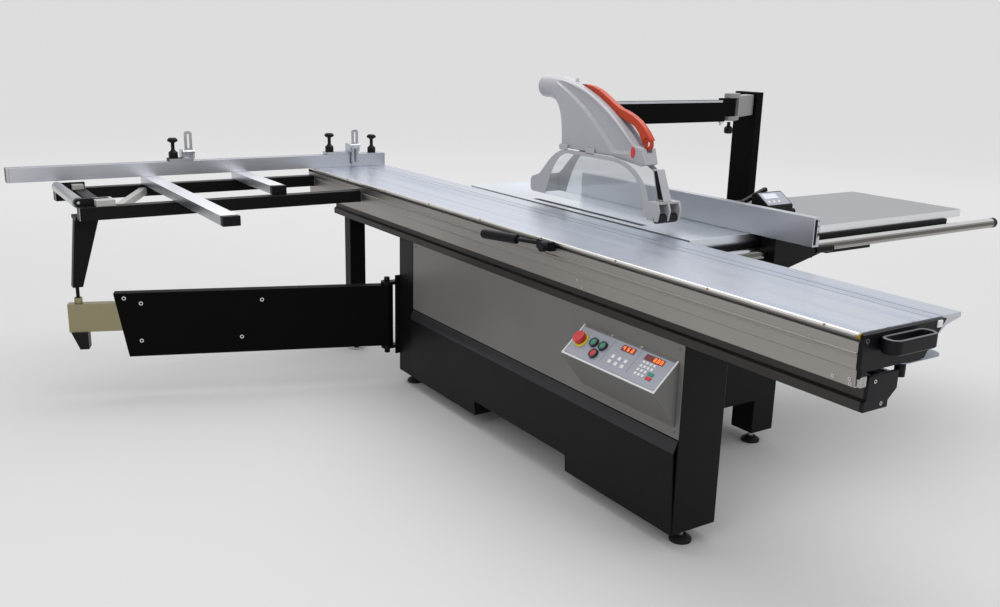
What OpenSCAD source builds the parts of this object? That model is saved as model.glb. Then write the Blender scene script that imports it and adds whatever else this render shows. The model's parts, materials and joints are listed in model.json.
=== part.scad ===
// Sliding table saw: fixed base, sliding table with crosscut outrigger, rip fence and overhead guard.
// Working frame: x from the sliding table's left edge, y from its near end, z from the floor, in mm.

/* [Main sizes] */
// Height of the table surface above the floor
table_h = 825; // [780:5:900]
// Length of the sliding table
slide_l = 3200; // [3160:5:3240]
// Width of the sliding table
slide_w = 380; // [360:1:400]
// Height of the sliding table's skirt on the operator's side
slide_skirt = 130; // [122:1:134]
// Thickness of the sliding table's top wall
slide_wall = 14; // [10:1:18]

/* [Beam] */
// Width of the fixed beam
beam_w = 118; // [110:1:126]
// Height of the beam's lower box
beam_h = 62; // [55:1:70]
// Length of the fixed beam
beam_l = 2960; // [2800:10:3000]
// Setback of the beam's left face from the table's left edge
beam_x = 30; // [28:1:40]
// Radius of a guide rod
rod_r = 11; // [9:0.5:13]

/* [Base] */
// Nearest end of the base
base_y = 572; // [540:2:600]
// Length of the base
base_l = 1724; // [1650:2:1760]
// Width of the long box under the beam
box_w = 176; // [160:2:190]
// Far reach of the cabinet on the rip side
cabinet_x = 937; // [930:1:980]
// Near face of the wide cabinet
cabinet_y = 1010; // [980:5:1060]
// Clearance of the base above the floor
base_gap = 51; // [45:1:60]
// Sheet thickness of the base
sheet_t = 4; // [3:0.5:6]
// Height of the lower panel's top edge, as a share of the table's height
lower_share = 0.4242; // [0.4:0.002:0.45]
// Height of the toe notch
notch_h = 58; // [40:1:70]

/* [Saw table] */
// Left edge of the cast iron table
main_x = 404; // [400:1:410]
// Width of the cast iron table
main_w = 596; // [560:1:640]
// Near edge of the cast iron table
main_y = 968; // [950:1:980]
// Depth of the cast iron table
main_d = 1372; // [1300:2:1400]
// Thickness of the cast iron plate
main_t = 15; // [13:0.5:16]
// Depth of the ribs round the plate
rib_h = 45; // [40:1:50]
// Far reach of the extension table
right_x = 1880; // [1800:5:1950]
// Depth of the extension table
right_d = 525; // [480:5:560]
// Edge height of the extension table
right_t = 29; // [25:1:34]

/* [Saw unit] */
// Place of the blade across the machine
blade_x = 440; // [438:0.5:442]
// Place of the arbor along the machine
blade_y = 1600; // [1560:5:1640]
// Radius of the saw blade
blade_r = 200; // [175:1:200]
// Depth of the arbor below the table surface, blade down
arbor_drop = 225; // [220:1:235]
// Thickness of the saw blade
blade_t = 4.4; // [3.2:0.2:5]
// Radius of the arbor
arbor_r = 15; // [12:0.5:15]
// Radius of the motor
motor_r = 70; // [60:1:72]
// Travel of the blade lift
lift_travel = 85; // [40:1:85]

/* [Rip fence] */
// Reach of the rip rail
rail_x = 2058; // [1950:2:2150]
// Radius of the rip rail
rail_r = 20; // [17:0.5:22]
// Left face of the rip fence
rip_x = 676; // [560:1:800]
// Height of the rip fence
rip_h = 94; // [80:1:110]
// Thickness of the rip fence
rip_t = 30; // [26:1:36]
// Length of the rip fence
rip_l = 1200; // [1000:10:1260]

/* [Crosscut fence] */
// Left end of the crosscut fence
fence_x = -1335; // [-1400:5:-1250]
// Distance of the fence's front face from the sliding table's far end
fence_set = 70; // [64:1:74]
// Height of the crosscut fence
fence_h = 60; // [50:1:70]
// Depth of the crosscut fence
fence_d = 56; // [50:1:60]

/* [Outrigger] */
// Reach of the outrigger frame
out_x = 1090; // [1060:2:1110]
// Size of the frame bars
bar_s = 50; // [44:1:56]
// Distance of the near frame bar from the sliding table's far end
near_set = 600; // [560:5:640]
// Distance of the far frame bar from the sliding table's far end
far_set = 74; // [60:1:90]
// Width of a support bar
support_w = 63; // [50:1:75]
// Height of a support bar
support_h = 35; // [30:1:38]

/* [Swing arm] */
// Length of the swing arm's box
arm_l = 1090; // [1060:5:1110]
// Height of the swing arm's box
arm_h = 265; // [240:1:280]
// Thickness of the swing arm's box
arm_t = 46; // [40:1:50]
// Height of the swing arm above the floor
arm_z = 165; // [150:1:180]
// Height of the telescopic tube
tube_h = 115; // [100:1:130]
// Angle of the arm away from the operator
arm_turn = 20; // [16:0.5:24]

/* [Guard] */
// Height of the guard's boom above the table
boom_rise = 361; // [350:1:372]
// Height of the boom's section
boom_h = 84; // [70:1:90]
// Width of the hood
hood_w = 86; // [70:1:90]
// Height of the guard's lower edge above the table
guard_gap = 32; // [28:1:40]
// Place of the guard post across the machine
post_x = 1390; // [1350:2:1430]

/* [Hidden] */
$fn = 48;
// A hair that cuts pass beyond the faces they open
eps = 0.5;
// Running clearance between moving faces
run_gap = 0.5;
// Radial clearance of a shaft in its bore
shaft_gap = 0.05;
// Clearance of an inner telescopic piece on each side
tele_gap = 0.6;
// Thickness of moulded end caps
cap_t = 10;
// Reach of the push handle in front of the sliding table
handle_reach = 62;
// Middle of the whole machine, which stands at the origin
mid_x = (rail_x + fence_x) / 2;
mid_y = (slide_l + cap_t - handle_reach) / 2;
// Beam levels
skirt_z = table_h - slide_skirt;
beam_top = skirt_z + 4;
beam_base = beam_top - 67;
rod_z = beam_top + rod_r - 3;
base_top = beam_base;
lower_h = table_h * lower_share;
panel_h = base_top - lower_h;
under_z = table_h - 95;
// Places that follow the far end of the sliding table
fence_y = slide_l - fence_set;
near_bar_y = slide_l - near_set;
far_bar_y = slide_l - far_set;
boom_z = table_h + boom_rise;

module placed() {
    translate([-mid_x, -mid_y, 0])
        children();
}

// A box from two opposite corners
module span(a, b) {
    translate(a)
        cube(b - a);
}

// A profile drawn in x and z, run along y from y0 for a length
module along_y(y0, length) {
    translate([0, y0 + length, 0])
        rotate([90, 0, 0])
            linear_extrude(height = length)
                children();
}

// A profile drawn in y and z, run along x from x0 for a length
module along_x(x0, length) {
    translate([x0, 0, 0])
        rotate([90, 0, 90])
            linear_extrude(height = length)
                children();
}

// A round bar along y
module rod_y(x, y0, z, r, length) {
    translate([x, y0, z])
        rotate([-90, 0, 0])
            cylinder(r = r, h = length);
}

// A round bar along x
module rod_x(x0, y, z, r, length) {
    translate([x0, y, z])
        rotate([0, 90, 0])
            cylinder(r = r, h = length);
}

// A rectangle with round corners, from its lower left corner
module round_rect(size, r) {
    for (x = [r, size[0] - r], y = [r, size[1] - r])
        translate([x, y])
            circle(r = r);
    translate([r, 0])
        square([size[0] - 2 * r, size[1]]);
    translate([0, r])
        square([size[0], size[1] - 2 * r]);
}

// Points along a cubic curve with two control points
function bezier(a, b, c, d, n) = [
    for (i = [0 : n])
        let (t = i / n, s = 1 - t)
            s * s * s * a + 3 * s * s * t * b + 3 * s * t * t * c + t * t * t * d
];

// Base places
base_far = base_y + base_l;
box_x = beam_x + 3;
box_far_x = beam_x + box_w;
column_y = base_far - 124;
notch_y = [base_y + 521, base_y + 1097];
cabinet_base = 180;
saddle_z = table_h - rib_h;
saddle_x = main_x + 6;
leg_w = 109;
leg_d = 104;
foot_r = 34;
stem_r = 9;
foot_places = [[110, base_y + 42], [85, base_far - 42], [cabinet_x - 62, cabinet_y + 45],
    [cabinet_x - 62, base_far - 42]];

// Side outline of the long box with its toe notch, drawn in by i
module box_outline(i) {
    polygon([
        [base_y + i, base_gap + i], [notch_y[0] - i, base_gap + i], [notch_y[0] - i, base_gap + notch_h + i],
        [notch_y[1] + i, base_gap + notch_h + i], [notch_y[1] + i, base_gap + i],
            [base_far - i, base_gap + i],
        [base_far - i, base_top - i], [base_y + i, base_top - i]
    ]);
}

// End outline of the wide cabinet, drawn in by i
module cabinet_outline(i) {
    polygon([
        [box_far_x - i, cabinet_base + i], [cabinet_x - i, cabinet_base + i],
        [cabinet_x - i, saddle_z + i], [saddle_x + i, saddle_z + i],
        [saddle_x + i, base_top - i], [box_far_x - i, base_top - i]
    ]);
}

module base_cabinet() {
    color([0.16, 0.16, 0.17]) {
        difference() {
            union() {
                along_x(box_x, box_far_x - box_x)
                    box_outline(0);
                along_y(cabinet_y, base_far - cabinet_y)
                    cabinet_outline(0);
                span([beam_x, column_y, base_gap], [box_x + sheet_t, base_far, base_top]);
            }
            along_x(box_x + sheet_t, box_far_x - box_x - 2 * sheet_t)
                box_outline(sheet_t);
            along_y(cabinet_y + sheet_t, base_far - cabinet_y - 2 * sheet_t)
                cabinet_outline(sheet_t);
        }
        for (y = [cabinet_y, base_far - leg_d])
            difference() {
                span([cabinet_x - leg_w, y, base_gap], [cabinet_x, y + leg_d, cabinet_base]);
                span([cabinet_x - leg_w + sheet_t, y + sheet_t, base_gap + sheet_t],
                     [cabinet_x - sheet_t, y + leg_d - sheet_t, cabinet_base - sheet_t]);
            }
    }
}

module side_panel() {
    color([0.55, 0.55, 0.53])
        span([beam_x, base_y, lower_h + 2], [box_x, column_y - 1, base_top]);
}

band_z = lower_h - 38;
band_out = 15;
module lower_panel() {
    color([0.13, 0.13, 0.14])
        difference() {
            along_y(base_y, column_y - 1 - base_y)
                polygon([
                    [beam_x, lower_h], [beam_x - band_out, band_z], [beam_x, base_gap],
                    [box_x, base_gap], [box_x - band_out, band_z], [box_x, lower_h]
                ]);
            span([beam_x - band_out - eps, notch_y[0], base_gap - eps],
                [box_x + eps, notch_y[1], base_gap + notch_h]);
        }
}

// Control pod, a wedge on the side panel
pod_y = [base_y + 16, base_y + 450];
pod_top = base_top - 0.174 * panel_h;
pod_edge = pod_top - 0.29 * panel_h;
pod_base = lower_h + 0.117 * panel_h;
pod_out = 90;
plate_t = 4;
pod_slope = atan2(pod_top - pod_edge, pod_out);
pod_face = norm([pod_out, pod_top - pod_edge]);
pod_l = pod_y[1] - pod_y[0];
estop_at = [5, 176];
start_at = [12, 118];
second_at = [12, 75];
stop_at = [-22, 88];
button_r = 11;
estop_stem_r = 14;
button_deep = 18;

// Local frame on the sloping face: x up the slope, y away from the operator, z outwards
module on_pod() {
    translate([beam_x - pod_out / 2, (pod_y[0] + pod_y[1]) / 2, (pod_top + pod_edge) / 2])
        rotate([0, -pod_slope, 0])
            children();
}

module button_bores(extra) {
    for (p = [start_at, second_at, stop_at])
        translate([p[0], p[1], -button_deep - plate_t])
            cylinder(r = button_r + extra, h = button_deep + plate_t + eps);
    translate([estop_at[0], estop_at[1], -button_deep - plate_t])
        cylinder(r = estop_stem_r + extra, h = button_deep + plate_t + eps);
}

module control_box() {
    color([0.6, 0.6, 0.58])
        difference() {
            along_y(pod_y[0], pod_l)
                polygon([[beam_x, pod_top], [beam_x - pod_out, pod_edge], [beam_x, pod_base]]);
            on_pod()
                translate([-pod_face / 2 + 9, -pod_l / 2 + 9, -plate_t])
                    cube([pod_face - 18, pod_l - 18, plate_t + eps]);
            on_pod()
                button_bores(0.3);
        }
}

module control_plate() {
    color([0.8, 0.82, 0.85])
        difference() {
            on_pod()
                translate([-pod_face / 2 + 9.2, -pod_l / 2 + 9.2, -plate_t])
                    cube([pod_face - 18.4, pod_l - 18.4, plate_t]);
            on_pod()
                button_bores(0.3);
        }
}

module leveling_feet() {
    color([0.1, 0.1, 0.1])
        for (p = foot_places)
            translate([p[0], p[1], 0]) {
                cylinder(r = foot_r, h = 10);
                translate([0, 0, 10])
                    cylinder(r1 = foot_r, r2 = foot_r / 2, h = 12);
                cylinder(r = stem_r, h = base_gap);
                translate([0, 0, base_gap - 12])
                    cylinder(r = 15, h = 8, $fn = 6);
            }
}

// Fixed beam, rods, caps and post
rod_xs = [beam_x + 24, beam_x + beam_w - 24];
module beam_outline() {
    polygon([
        [beam_x, beam_base], [beam_x + 89, beam_base], [beam_x + 89, beam_base + 17],
        [beam_x + beam_w, beam_base + 42], [beam_x + beam_w, beam_top], [beam_x + 10, beam_top],
        [beam_x + 10, beam_base + beam_h - 32], [beam_x, beam_base + beam_h - 38]
    ]);
}

module slide_beam() {
    color([0.25, 0.24, 0.23])
        difference() {
            along_y(0, beam_l)
                beam_outline();
            for (x = rod_xs)
                rod_y(x, -eps, rod_z, rod_r + 0.1, beam_l + 1);
            span([beam_x + 24, -eps, beam_base + 8], [beam_x + 78, beam_l + eps, beam_base + 40]);
        }
}

module guide_rods() {
    color([0.75, 0.76, 0.78])
        for (x = rod_xs)
            rod_y(x, 0, rod_z, rod_r, beam_l);
}

module beam_end_caps() {
    color([0.2, 0.2, 0.21])
        for (y = [-cap_t, beam_l])
            along_y(y, cap_t) {
                beam_outline();
                translate([beam_x + 10, beam_top - 1])
                    square([beam_w - 10, rod_z + rod_r + 1 - beam_top]);
            }
}

post_y = beam_l - 138;
post_w = 76;
post_d = 60;
disc_r = 45;
disc_t = 10;
module beam_post() {
    color([0.15, 0.15, 0.16]) {
        difference() {
            span([beam_x, post_y - post_d / 2, disc_t + 30],
                [beam_x + post_w, post_y + post_d / 2, beam_base]);
            span([beam_x + sheet_t, post_y - post_d / 2 + sheet_t, disc_t + 30 + sheet_t],
                 [beam_x + post_w - sheet_t, post_y + post_d / 2 - sheet_t, beam_base - sheet_t]);
        }
        translate([beam_x + post_w / 2, post_y, 0]) {
            cylinder(r = disc_r, h = disc_t);
            cylinder(r = 12, h = disc_t + 30);
        }
    }
}

// Saw table with ribs, blade slot and a clear well over the saw unit
slot_y = [blade_y - 360, blade_y + blade_r + 110];
slot_x = [blade_x - 6, blade_x + main_t + 8];
module main_table() {
    color([0.6, 0.62, 0.64])
        difference() {
            span([main_x, main_y, saddle_z], [main_x + main_w, main_y + main_d, table_h]);
            span([main_x + 12, main_y + 14, saddle_z - eps],
                [main_x + main_w - 14, cabinet_y + 160, table_h - main_t]);
            span([main_x + 12, cabinet_y + 180, saddle_z - eps],
                 [main_x + main_w - 14, base_far - 210, table_h - main_t]);
            span([main_x + 12, base_far - 190, saddle_z - eps],
                 [main_x + main_w - 14, main_y + main_d - 14, table_h - main_t]);
            span([slot_x[0], slot_y[0], saddle_z], [slot_x[1], slot_y[1], table_h + eps]);
        }
}

right_y = main_y - 3;
right_left = main_x + main_w + 1;
right_sheet = 3;
module right_table() {
    color([0.62, 0.63, 0.65])
        difference() {
            span([right_left, right_y, table_h - right_t], [right_x, right_y + right_d, table_h]);
            span([right_left + right_sheet, right_y + right_sheet, table_h - right_t - eps],
                 [right_x - right_sheet, right_y + right_d - right_sheet, table_h - right_sheet]);
        }
}

// Rip rail and what carries it
rail_y = right_y - 39;
rail_z = table_h - 62;
rail_left = main_x + 26;
stand_xs = [main_x + 120, main_x + main_w + 200, main_x + main_w + 720];
module rip_rail() {
    color([0.8, 0.81, 0.83]) {
        rod_x(rail_left, rail_y, rail_z, rail_r, rail_x - cap_t - rail_left);
        rod_x(rail_x - cap_t, rail_y, rail_z, rail_r, cap_t);
    }
}

// Studs behind the rail, a scale bar along the table edge and two brackets under the extension table
bar_y = right_y - 10;
stud_r = 9;
bracket_x = right_left + right_sheet + 1;
module rail_supports() {
    color([0.3, 0.3, 0.31]) {
        span([rail_left, bar_y, table_h - 84], [right_x - 100, main_y, table_h - right_t]);
        span([right_left + 66, bar_y, table_h - 103], [right_left + 313, main_y, table_h - 84]);
        difference() {
            for (x = stand_xs)
                rod_y(x, rail_y, rail_z, stud_r, bar_y - rail_y);
            rod_x(rail_left, rail_y, rail_z, rail_r, rail_x - rail_left);
        }
        for (y = [right_y + 120, right_y + right_d - 90])
            along_y(y, 30)
                polygon([
                    [cabinet_x, table_h - 200], [cabinet_x, saddle_z - 1], [bracket_x, saddle_z - 1],
                    [bracket_x, table_h - right_sheet], [right_x - 200, table_h - right_sheet],
                    [right_x - 200, table_h - right_t]
                ]);
    }
}

// Overhead guard post with its foot beam and the short link at its head
post_size = [40, 124];
guard_post_y = blade_y + 50;
link_end = [post_x - 230, blade_y - 25];
link_z = boom_z - 34;
link_h = 96;
link_w = 44;
link_run = [post_x - link_end[0], guard_post_y + 40 - link_end[1]];
link_turn = atan2(link_run[1], link_run[0]);
link_l = norm(link_run);
knuckle_r = 26;
pin_r = 11;
module guard_post() {
    color([0.12, 0.12, 0.13]) {
        span([post_x, guard_post_y, 560],
            [post_x + post_size[0], guard_post_y + post_size[1], link_z + link_h + 4]);
        span([cabinet_x, guard_post_y + 12, 570], [post_x, guard_post_y + post_size[1] - 12, 650]);
    }
    color([0.7, 0.7, 0.7]) {
        translate([link_end[0], link_end[1], link_z])
            rotate([0, 0, link_turn])
                translate([knuckle_r + 14, -link_w / 2, 6])
                    cube([link_l - knuckle_r - 10, link_w, link_h - 12]);
        for (z = [link_z - 6, link_z + link_h - 12])
            translate([link_end[0], link_end[1], z]) {
                cylinder(r = knuckle_r, h = 18);
                rotate([0, 0, link_turn])
                    translate([0, -link_w / 2, 0])
                        cube([knuckle_r + 30, link_w, 18]);
            }
        translate([link_end[0], link_end[1], link_z])
            cylinder(r = pin_r, h = link_h - 6);
    }
}

// Hinge of the swing arm at the far corner of the base
hinge_at = [-16, base_far + 26];
hinge_r = 26;
hinge_pin_r = 12;
lug_t = 14;
module arm_hinge() {
    color([0.2, 0.2, 0.21]) {
        span([hinge_at[0] + hinge_r + 2, base_far, arm_z - 40],
            [beam_x + 90, base_far + 8, arm_z + arm_h + 40]);
        for (z = [arm_z - lug_t - run_gap, arm_z + arm_h + run_gap]) {
            translate([hinge_at[0], hinge_at[1], z])
                cylinder(r = hinge_r, h = lug_t);
            span([hinge_at[0], base_far + 1, z], [beam_x + 60, base_far + 8 + 30, z + lug_t]);
        }
        translate([hinge_at[0], hinge_at[1], arm_z - lug_t - 22])
            cylinder(r = hinge_pin_r, h = arm_h + 2 * lug_t + 40);
    }
}

// Sliding table extrusion
wall_in = 26;
slot_z = table_h - 17;
slot_open = 10;
slot_wide = 22;
slot_lip = 6;
slot_deep = 15;
groove_xs = [34, 41, 96, 103, 188, 195, 262, 300];
fence_pivot = [slide_w - 50, fence_y + fence_d / 2];
pivot_r = 10;
pivot_deep = 12;
module slide_outline() {
    polygon([
        [0, table_h], [slide_w, table_h], [slide_w, table_h - 12], [slide_w - 55, table_h - 25],
        [slide_w - 130, table_h - 80], [slide_w - 140, under_z], [wall_in, under_z], [wall_in, skirt_z],
        [5, skirt_z], [5, table_h - 90], [0, table_h - 86]
    ]);
}

module sliding_table() {
    color([0.82, 0.84, 0.87])
        difference() {
            along_y(0, slide_l)
                difference() {
                    slide_outline();
                    translate([wall_in + 4, under_z + slide_wall])
                        square([100, table_h - under_z - 2 * slide_wall]);
                    translate([wall_in + 116, under_z + slide_wall])
                        square([slide_w - 150 - wall_in - 116, table_h - under_z - 2 * slide_wall]);
                    translate([-eps, slot_z - slot_open / 2])
                        square([slot_deep + eps, slot_open]);
                    translate([slot_lip, slot_z - slot_wide / 2])
                        square([slot_deep - slot_lip, slot_wide]);
                    for (x = groove_xs)
                        translate([x, table_h - 1.5])
                            square([3, 1.5 + eps]);
                }
            translate([fence_pivot[0], fence_pivot[1], table_h - pivot_deep - 1])
                cylinder(r = pivot_r + shaft_gap, h = pivot_deep + 2);
        }
}

module table_end_caps() {
    color([0.22, 0.23, 0.25])
        for (y = [-cap_t, slide_l])
            along_y(y, cap_t)
                polygon([
                    [3, table_h - 4], [slide_w - 70, table_h - 4], [slide_w - 132, table_h - 78],
                    [slide_w - 142, under_z + 2], [wall_in, under_z + 2], [wall_in, skirt_z + 20],
                    [8, skirt_z + 20], [8, table_h - 88], [3, table_h - 84]
                ]);
}

handle_w = 164;
handle_x = 50;
module push_handle() {
    color([0.2, 0.21, 0.23])
        translate([handle_x, -handle_reach, table_h - 48])
            linear_extrude(height = 36)
                difference() {
                    round_rect([handle_w, handle_reach - cap_t], 22);
                    translate([16, 14])
                        round_rect([handle_w - 32, handle_reach - cap_t - 26], 12);
                }
}

// Bearing blocks that hang on the guide rods
block_l = 150;
block_ys = [slide_l - 1210, slide_l - 810];
block_base = beam_top + 5;
module bearing_blocks() {
    color([0.35, 0.36, 0.38])
        for (y = block_ys)
            difference() {
                span([beam_x + 8, y, block_base], [beam_x + beam_w - 8, y + block_l, under_z]);
                for (x = rod_xs)
                    rod_y(x, y - eps, rod_z, rod_r + shaft_gap, block_l + 1);
            }
}

// Travel lock under the near end
lock_x = beam_x + beam_w + 28;
lock_y = 8;
lock_pin_r = 6;
lock_sheet = 3;
lock_corner = 36;
module lock_plate() {
    color([0.62, 0.68, 0.74])
        difference() {
            translate([beam_x + beam_w + 2, -cap_t, under_z - lock_sheet])
                linear_extrude(height = lock_sheet)
                    round_rect([slide_w - 56 - beam_x - beam_w - 2, 170], lock_corner);
            translate([lock_x, lock_y, under_z - lock_sheet - eps])
                cylinder(r = lock_pin_r + shaft_gap, h = lock_sheet + 1);
        }
}

module lock_plunger() {
    color([0.1, 0.1, 0.1])
        translate([lock_x, lock_y, 0]) {
            translate([0, 0, under_z - lock_sheet - 34])
                cylinder(r = 13, h = 33.5);
            translate([0, 0, under_z - lock_sheet - 2])
                cylinder(r = lock_pin_r, h = lock_sheet + 1.5);
        }
}

// Push grip in the side slot
grip_y = 1180;
grip_clear = 0.5;
grip_turn = 20;
grip_screw_r = 5;
module side_grip() {
    color([0.12, 0.12, 0.13]) {
        difference() {
            union() {
                span([-24, grip_y - 30, slot_z - 15], [-grip_clear, grip_y + 45, slot_z + 15]);
                span([-grip_clear - 1, grip_y - 30, slot_z - slot_open / 2 + grip_clear],
                     [slot_lip + 4, grip_y + 45, slot_z + slot_open / 2 - grip_clear]);
                span([slot_lip + grip_clear, grip_y - 30, slot_z - slot_wide / 2 + grip_clear],
                     [slot_deep - 1, grip_y + 45, slot_z + slot_wide / 2 - grip_clear]);
            }
            rod_x(-24 - eps, grip_y - 10, slot_z, grip_screw_r + shaft_gap, 20);
        }
        translate([-14, grip_y + 40, slot_z])
            rotate([0, 0, grip_turn])
                rotate([-90, 0, 0]) {
                    cylinder(r = 7, h = 230);
                    translate([0, 0, 90])
                        cylinder(r = 16, h = 134);
                    translate([0, 0, 224])
                        sphere(r = 16);
                }
    }
}

module grip_knob() {
    color([0.15, 0.15, 0.15]) {
        rod_x(-24 - 22 - run_gap, grip_y - 10, slot_z, 17, 22);
        rod_x(-24 - run_gap - 1, grip_y - 10, slot_z, grip_screw_r, 18);
    }
}

// Crosscut outrigger
out_top = table_h - support_h;
out_base = out_top - bar_s;
bar_wall = 3;
roller_x = -out_x - 60;
roller_r = 22;
axle_r = 6;
roller_z = table_h - roller_r;
side_t = 12;
bar_reach = 68;
module outrigger_frame() {
    color([0.12, 0.12, 0.13]) {
        for (y = [near_bar_y, far_bar_y])
            span([-out_x - bar_reach, y, out_base], [0, y + bar_s, out_top]);
        span([-out_x, near_bar_y + bar_s, out_base], [-out_x + bar_s, far_bar_y, out_top]);
        difference() {
            translate([-out_x + bar_s - 10, near_bar_y + bar_s - 20, out_base + 8])
                rotate([0, 0, -25])
                    cube([30, 560, 30]);
            span([-out_x - 200, near_bar_y - 200, out_base - eps], [0, near_bar_y + bar_s, out_top + eps]);
            span([-out_x - 200, far_bar_y, out_base - eps], [200, far_bar_y + 400, out_top + eps]);
            span([-out_x - 200, near_bar_y, out_base - eps],
                [-out_x + bar_s, far_bar_y + bar_s, out_top + eps]);
        }
    }
}

long_bar = [-797, near_bar_y - 588];
short_bar = [-390, near_bar_y + 40];
module support_bars() {
    color([0.78, 0.79, 0.81])
        for (p = [long_bar, short_bar])
            translate([p[0], p[1], out_top])
                difference() {
                    cube([support_w, far_bar_y + bar_s - p[1], support_h]);
                    translate([bar_wall, cap_t, bar_wall])
                        cube([support_w - 2 * bar_wall, far_bar_y + bar_s - p[1] - 2 * cap_t,
                            support_h - 2 * bar_wall]);
                }
}

module corner_casting() {
    color([0.7, 0.7, 0.68]) {
        span([-out_x - 4, near_bar_y + 6, out_top], [-out_x + 66, near_bar_y + bar_s + 44, out_top + 24]);
        span([-out_x - 4, far_bar_y - 40, out_top], [-out_x + 40, far_bar_y + 6, out_top + 20]);
        for (y = [near_bar_y + bar_s, far_bar_y - side_t])
            difference() {
                union() {
                    span([roller_x, y, roller_z - 15], [-out_x, y + side_t, roller_z + 15]);
                    span([-out_x, y, out_top], [-out_x + bar_s, y + side_t, roller_z + 15]);
                    rod_y(roller_x, y, roller_z, 15, side_t);
                }
                rod_y(roller_x, y - eps, roller_z, axle_r + shaft_gap, side_t + 1);
            }
    }
}

module end_roller() {
    color([0.75, 0.76, 0.78]) {
        rod_y(roller_x, near_bar_y + bar_s + side_t + 2, roller_z, roller_r,
              far_bar_y - near_bar_y - bar_s - 2 * side_t - 4);
        rod_y(roller_x, near_bar_y + bar_s, roller_z, axle_r, far_bar_y - near_bar_y - bar_s);
    }
}

// Leg of the outrigger, which stands on the telescopic tube
leg_reach = arm_l + 134;
leg_at = [hinge_at[0] - leg_reach * cos(arm_turn), hinge_at[1] + leg_reach * sin(arm_turn)];
tube_top = arm_z + arm_h - 40;
leg_top_w = 90;
leg_foot_w = 38;
leg_t = 40;
leg_foot_z = tube_top + 68;
nut_h = 24;
leg_lean = 8;
leg_plate_z = out_base - 14;
module outrigger_leg() {
    color([0.14, 0.14, 0.15]) {
        along_y(leg_at[1] - leg_t / 2, leg_t)
            polygon([
                [leg_at[0] + leg_lean, leg_plate_z], [leg_at[0] + leg_lean + leg_top_w, leg_plate_z],
                [leg_at[0] + leg_foot_w / 2, leg_foot_z], [leg_at[0] - leg_foot_w / 2, leg_foot_z]
            ]);
        span([min(leg_at[0] + leg_lean, -out_x), leg_at[1] - leg_top_w / 2, leg_plate_z],
             [max(leg_at[0] + leg_lean + leg_top_w, bar_s - out_x), leg_at[1] + leg_top_w / 2, out_base]);
        translate([leg_at[0], leg_at[1], tube_top + run_gap + nut_h])
            cylinder(r = 7, h = leg_foot_z - tube_top - run_gap - nut_h);
        translate([leg_at[0], leg_at[1], tube_top + run_gap])
            cylinder(r = 16, h = nut_h, $fn = 6);
    }
}

// Crosscut fence with a top slot and a hollow for its extension
fence_end = slide_w - 4;
fence_z = table_h + run_gap;
tele_y = [fence_y + 8, fence_y + fence_d - 8];
tele_z = [fence_z + 8, fence_z + fence_h - 20];
top_slot_y = fence_y + fence_d / 2;
lock_knob_x = slide_w - 64;
module fence_outline() {
    difference() {
        translate([fence_y, fence_z])
            square([fence_d, fence_h]);
        translate([tele_y[0], tele_z[0]])
            square([tele_y[1] - tele_y[0], tele_z[1] - tele_z[0]]);
        translate([top_slot_y - 6, fence_z + fence_h - 6])
            square([12, 6 + eps]);
        translate([top_slot_y - 12, fence_z + fence_h - 13])
            square([24, 7 + eps]);
    }
}

// Clamp knob with a wide collar, a slim stem and a flat head
knob_r = 21;
module clamp_knob() {
    rotate_extrude()
        polygon([
            [0, 0], [knob_r - 1, 0], [knob_r - 1, 25], [12, 32], [8, 38], [8, 66], [knob_r, 74],
            [knob_r, 83], [knob_r - 6, 89], [0, 89]
        ]);
}

module crosscut_fence() {
    color([0.8, 0.81, 0.83]) {
        along_x(fence_x + cap_t, fence_end - fence_x - cap_t)
            fence_outline();
        translate([fence_pivot[0], fence_pivot[1], table_h - pivot_deep])
            cylinder(r = pivot_r, h = pivot_deep + run_gap);
        translate([lock_knob_x, top_slot_y, fence_z + fence_h])
            clamp_knob();
    }
}

extension_l = 900;
module fence_extension() {
    color([0.7, 0.74, 0.78]) {
        span([fence_x + cap_t, tele_y[0] + tele_gap, tele_z[0] + tele_gap],
             [fence_x + cap_t + extension_l, tele_y[1] - tele_gap, tele_z[1] - tele_gap]);
        span([fence_x, fence_y, fence_z], [fence_x + cap_t - run_gap, fence_y + fence_d, fence_z + fence_h]);
        span([fence_x + cap_t - run_gap, tele_y[0] + tele_gap, tele_z[0] + tele_gap],
             [fence_x + cap_t, tele_y[1] - tele_gap, tele_z[1] - tele_gap]);
    }
}

// Flip stops: a slotted carrier with a clamp knob, and a finger that turns on a pin
stop_z = fence_z + fence_h + run_gap;
flip_pivot = [fence_y - 14, stop_z + 41];
flip_pin_r = 5;
flip_l = 92;
flip_w = 34;
ear_t = 9;
module stop_carrier(x, knob_set) {
    knob_x = x + flip_w / 2 - knob_set;
    span([knob_x - knob_r - 3, fence_y + 2, stop_z],
        [x + flip_w + ear_t + 1, fence_y + fence_d - 2, stop_z + 12]);
    translate([knob_x, top_slot_y, stop_z + 12])
        clamp_knob();
    span([knob_x - 20, top_slot_y - 5.4, stop_z - 7], [knob_x + 20, top_slot_y + 5.4, stop_z]);
    span([knob_x - 20, top_slot_y - 11.4, stop_z - 12.5], [knob_x + 20, top_slot_y + 11.4, stop_z - 7]);
    for (ear = [x - ear_t - run_gap, x + flip_w + run_gap]) {
        span([ear, flip_pivot[0], stop_z + 12], [ear + ear_t, fence_y + 40, flip_pivot[1] + 9]);
        span([ear, fence_y + 2, stop_z], [ear + ear_t, fence_y + 40, stop_z + 12]);
        rod_x(ear, flip_pivot[0], flip_pivot[1], 9, ear_t);
    }
    span([x - run_gap, fence_y + 20, stop_z], [x + flip_w + run_gap, fence_y + 40, flip_pivot[1] - 10]);
    rod_x(x - ear_t, flip_pivot[0], flip_pivot[1], flip_pin_r, flip_w + 2 * ear_t);
}

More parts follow.
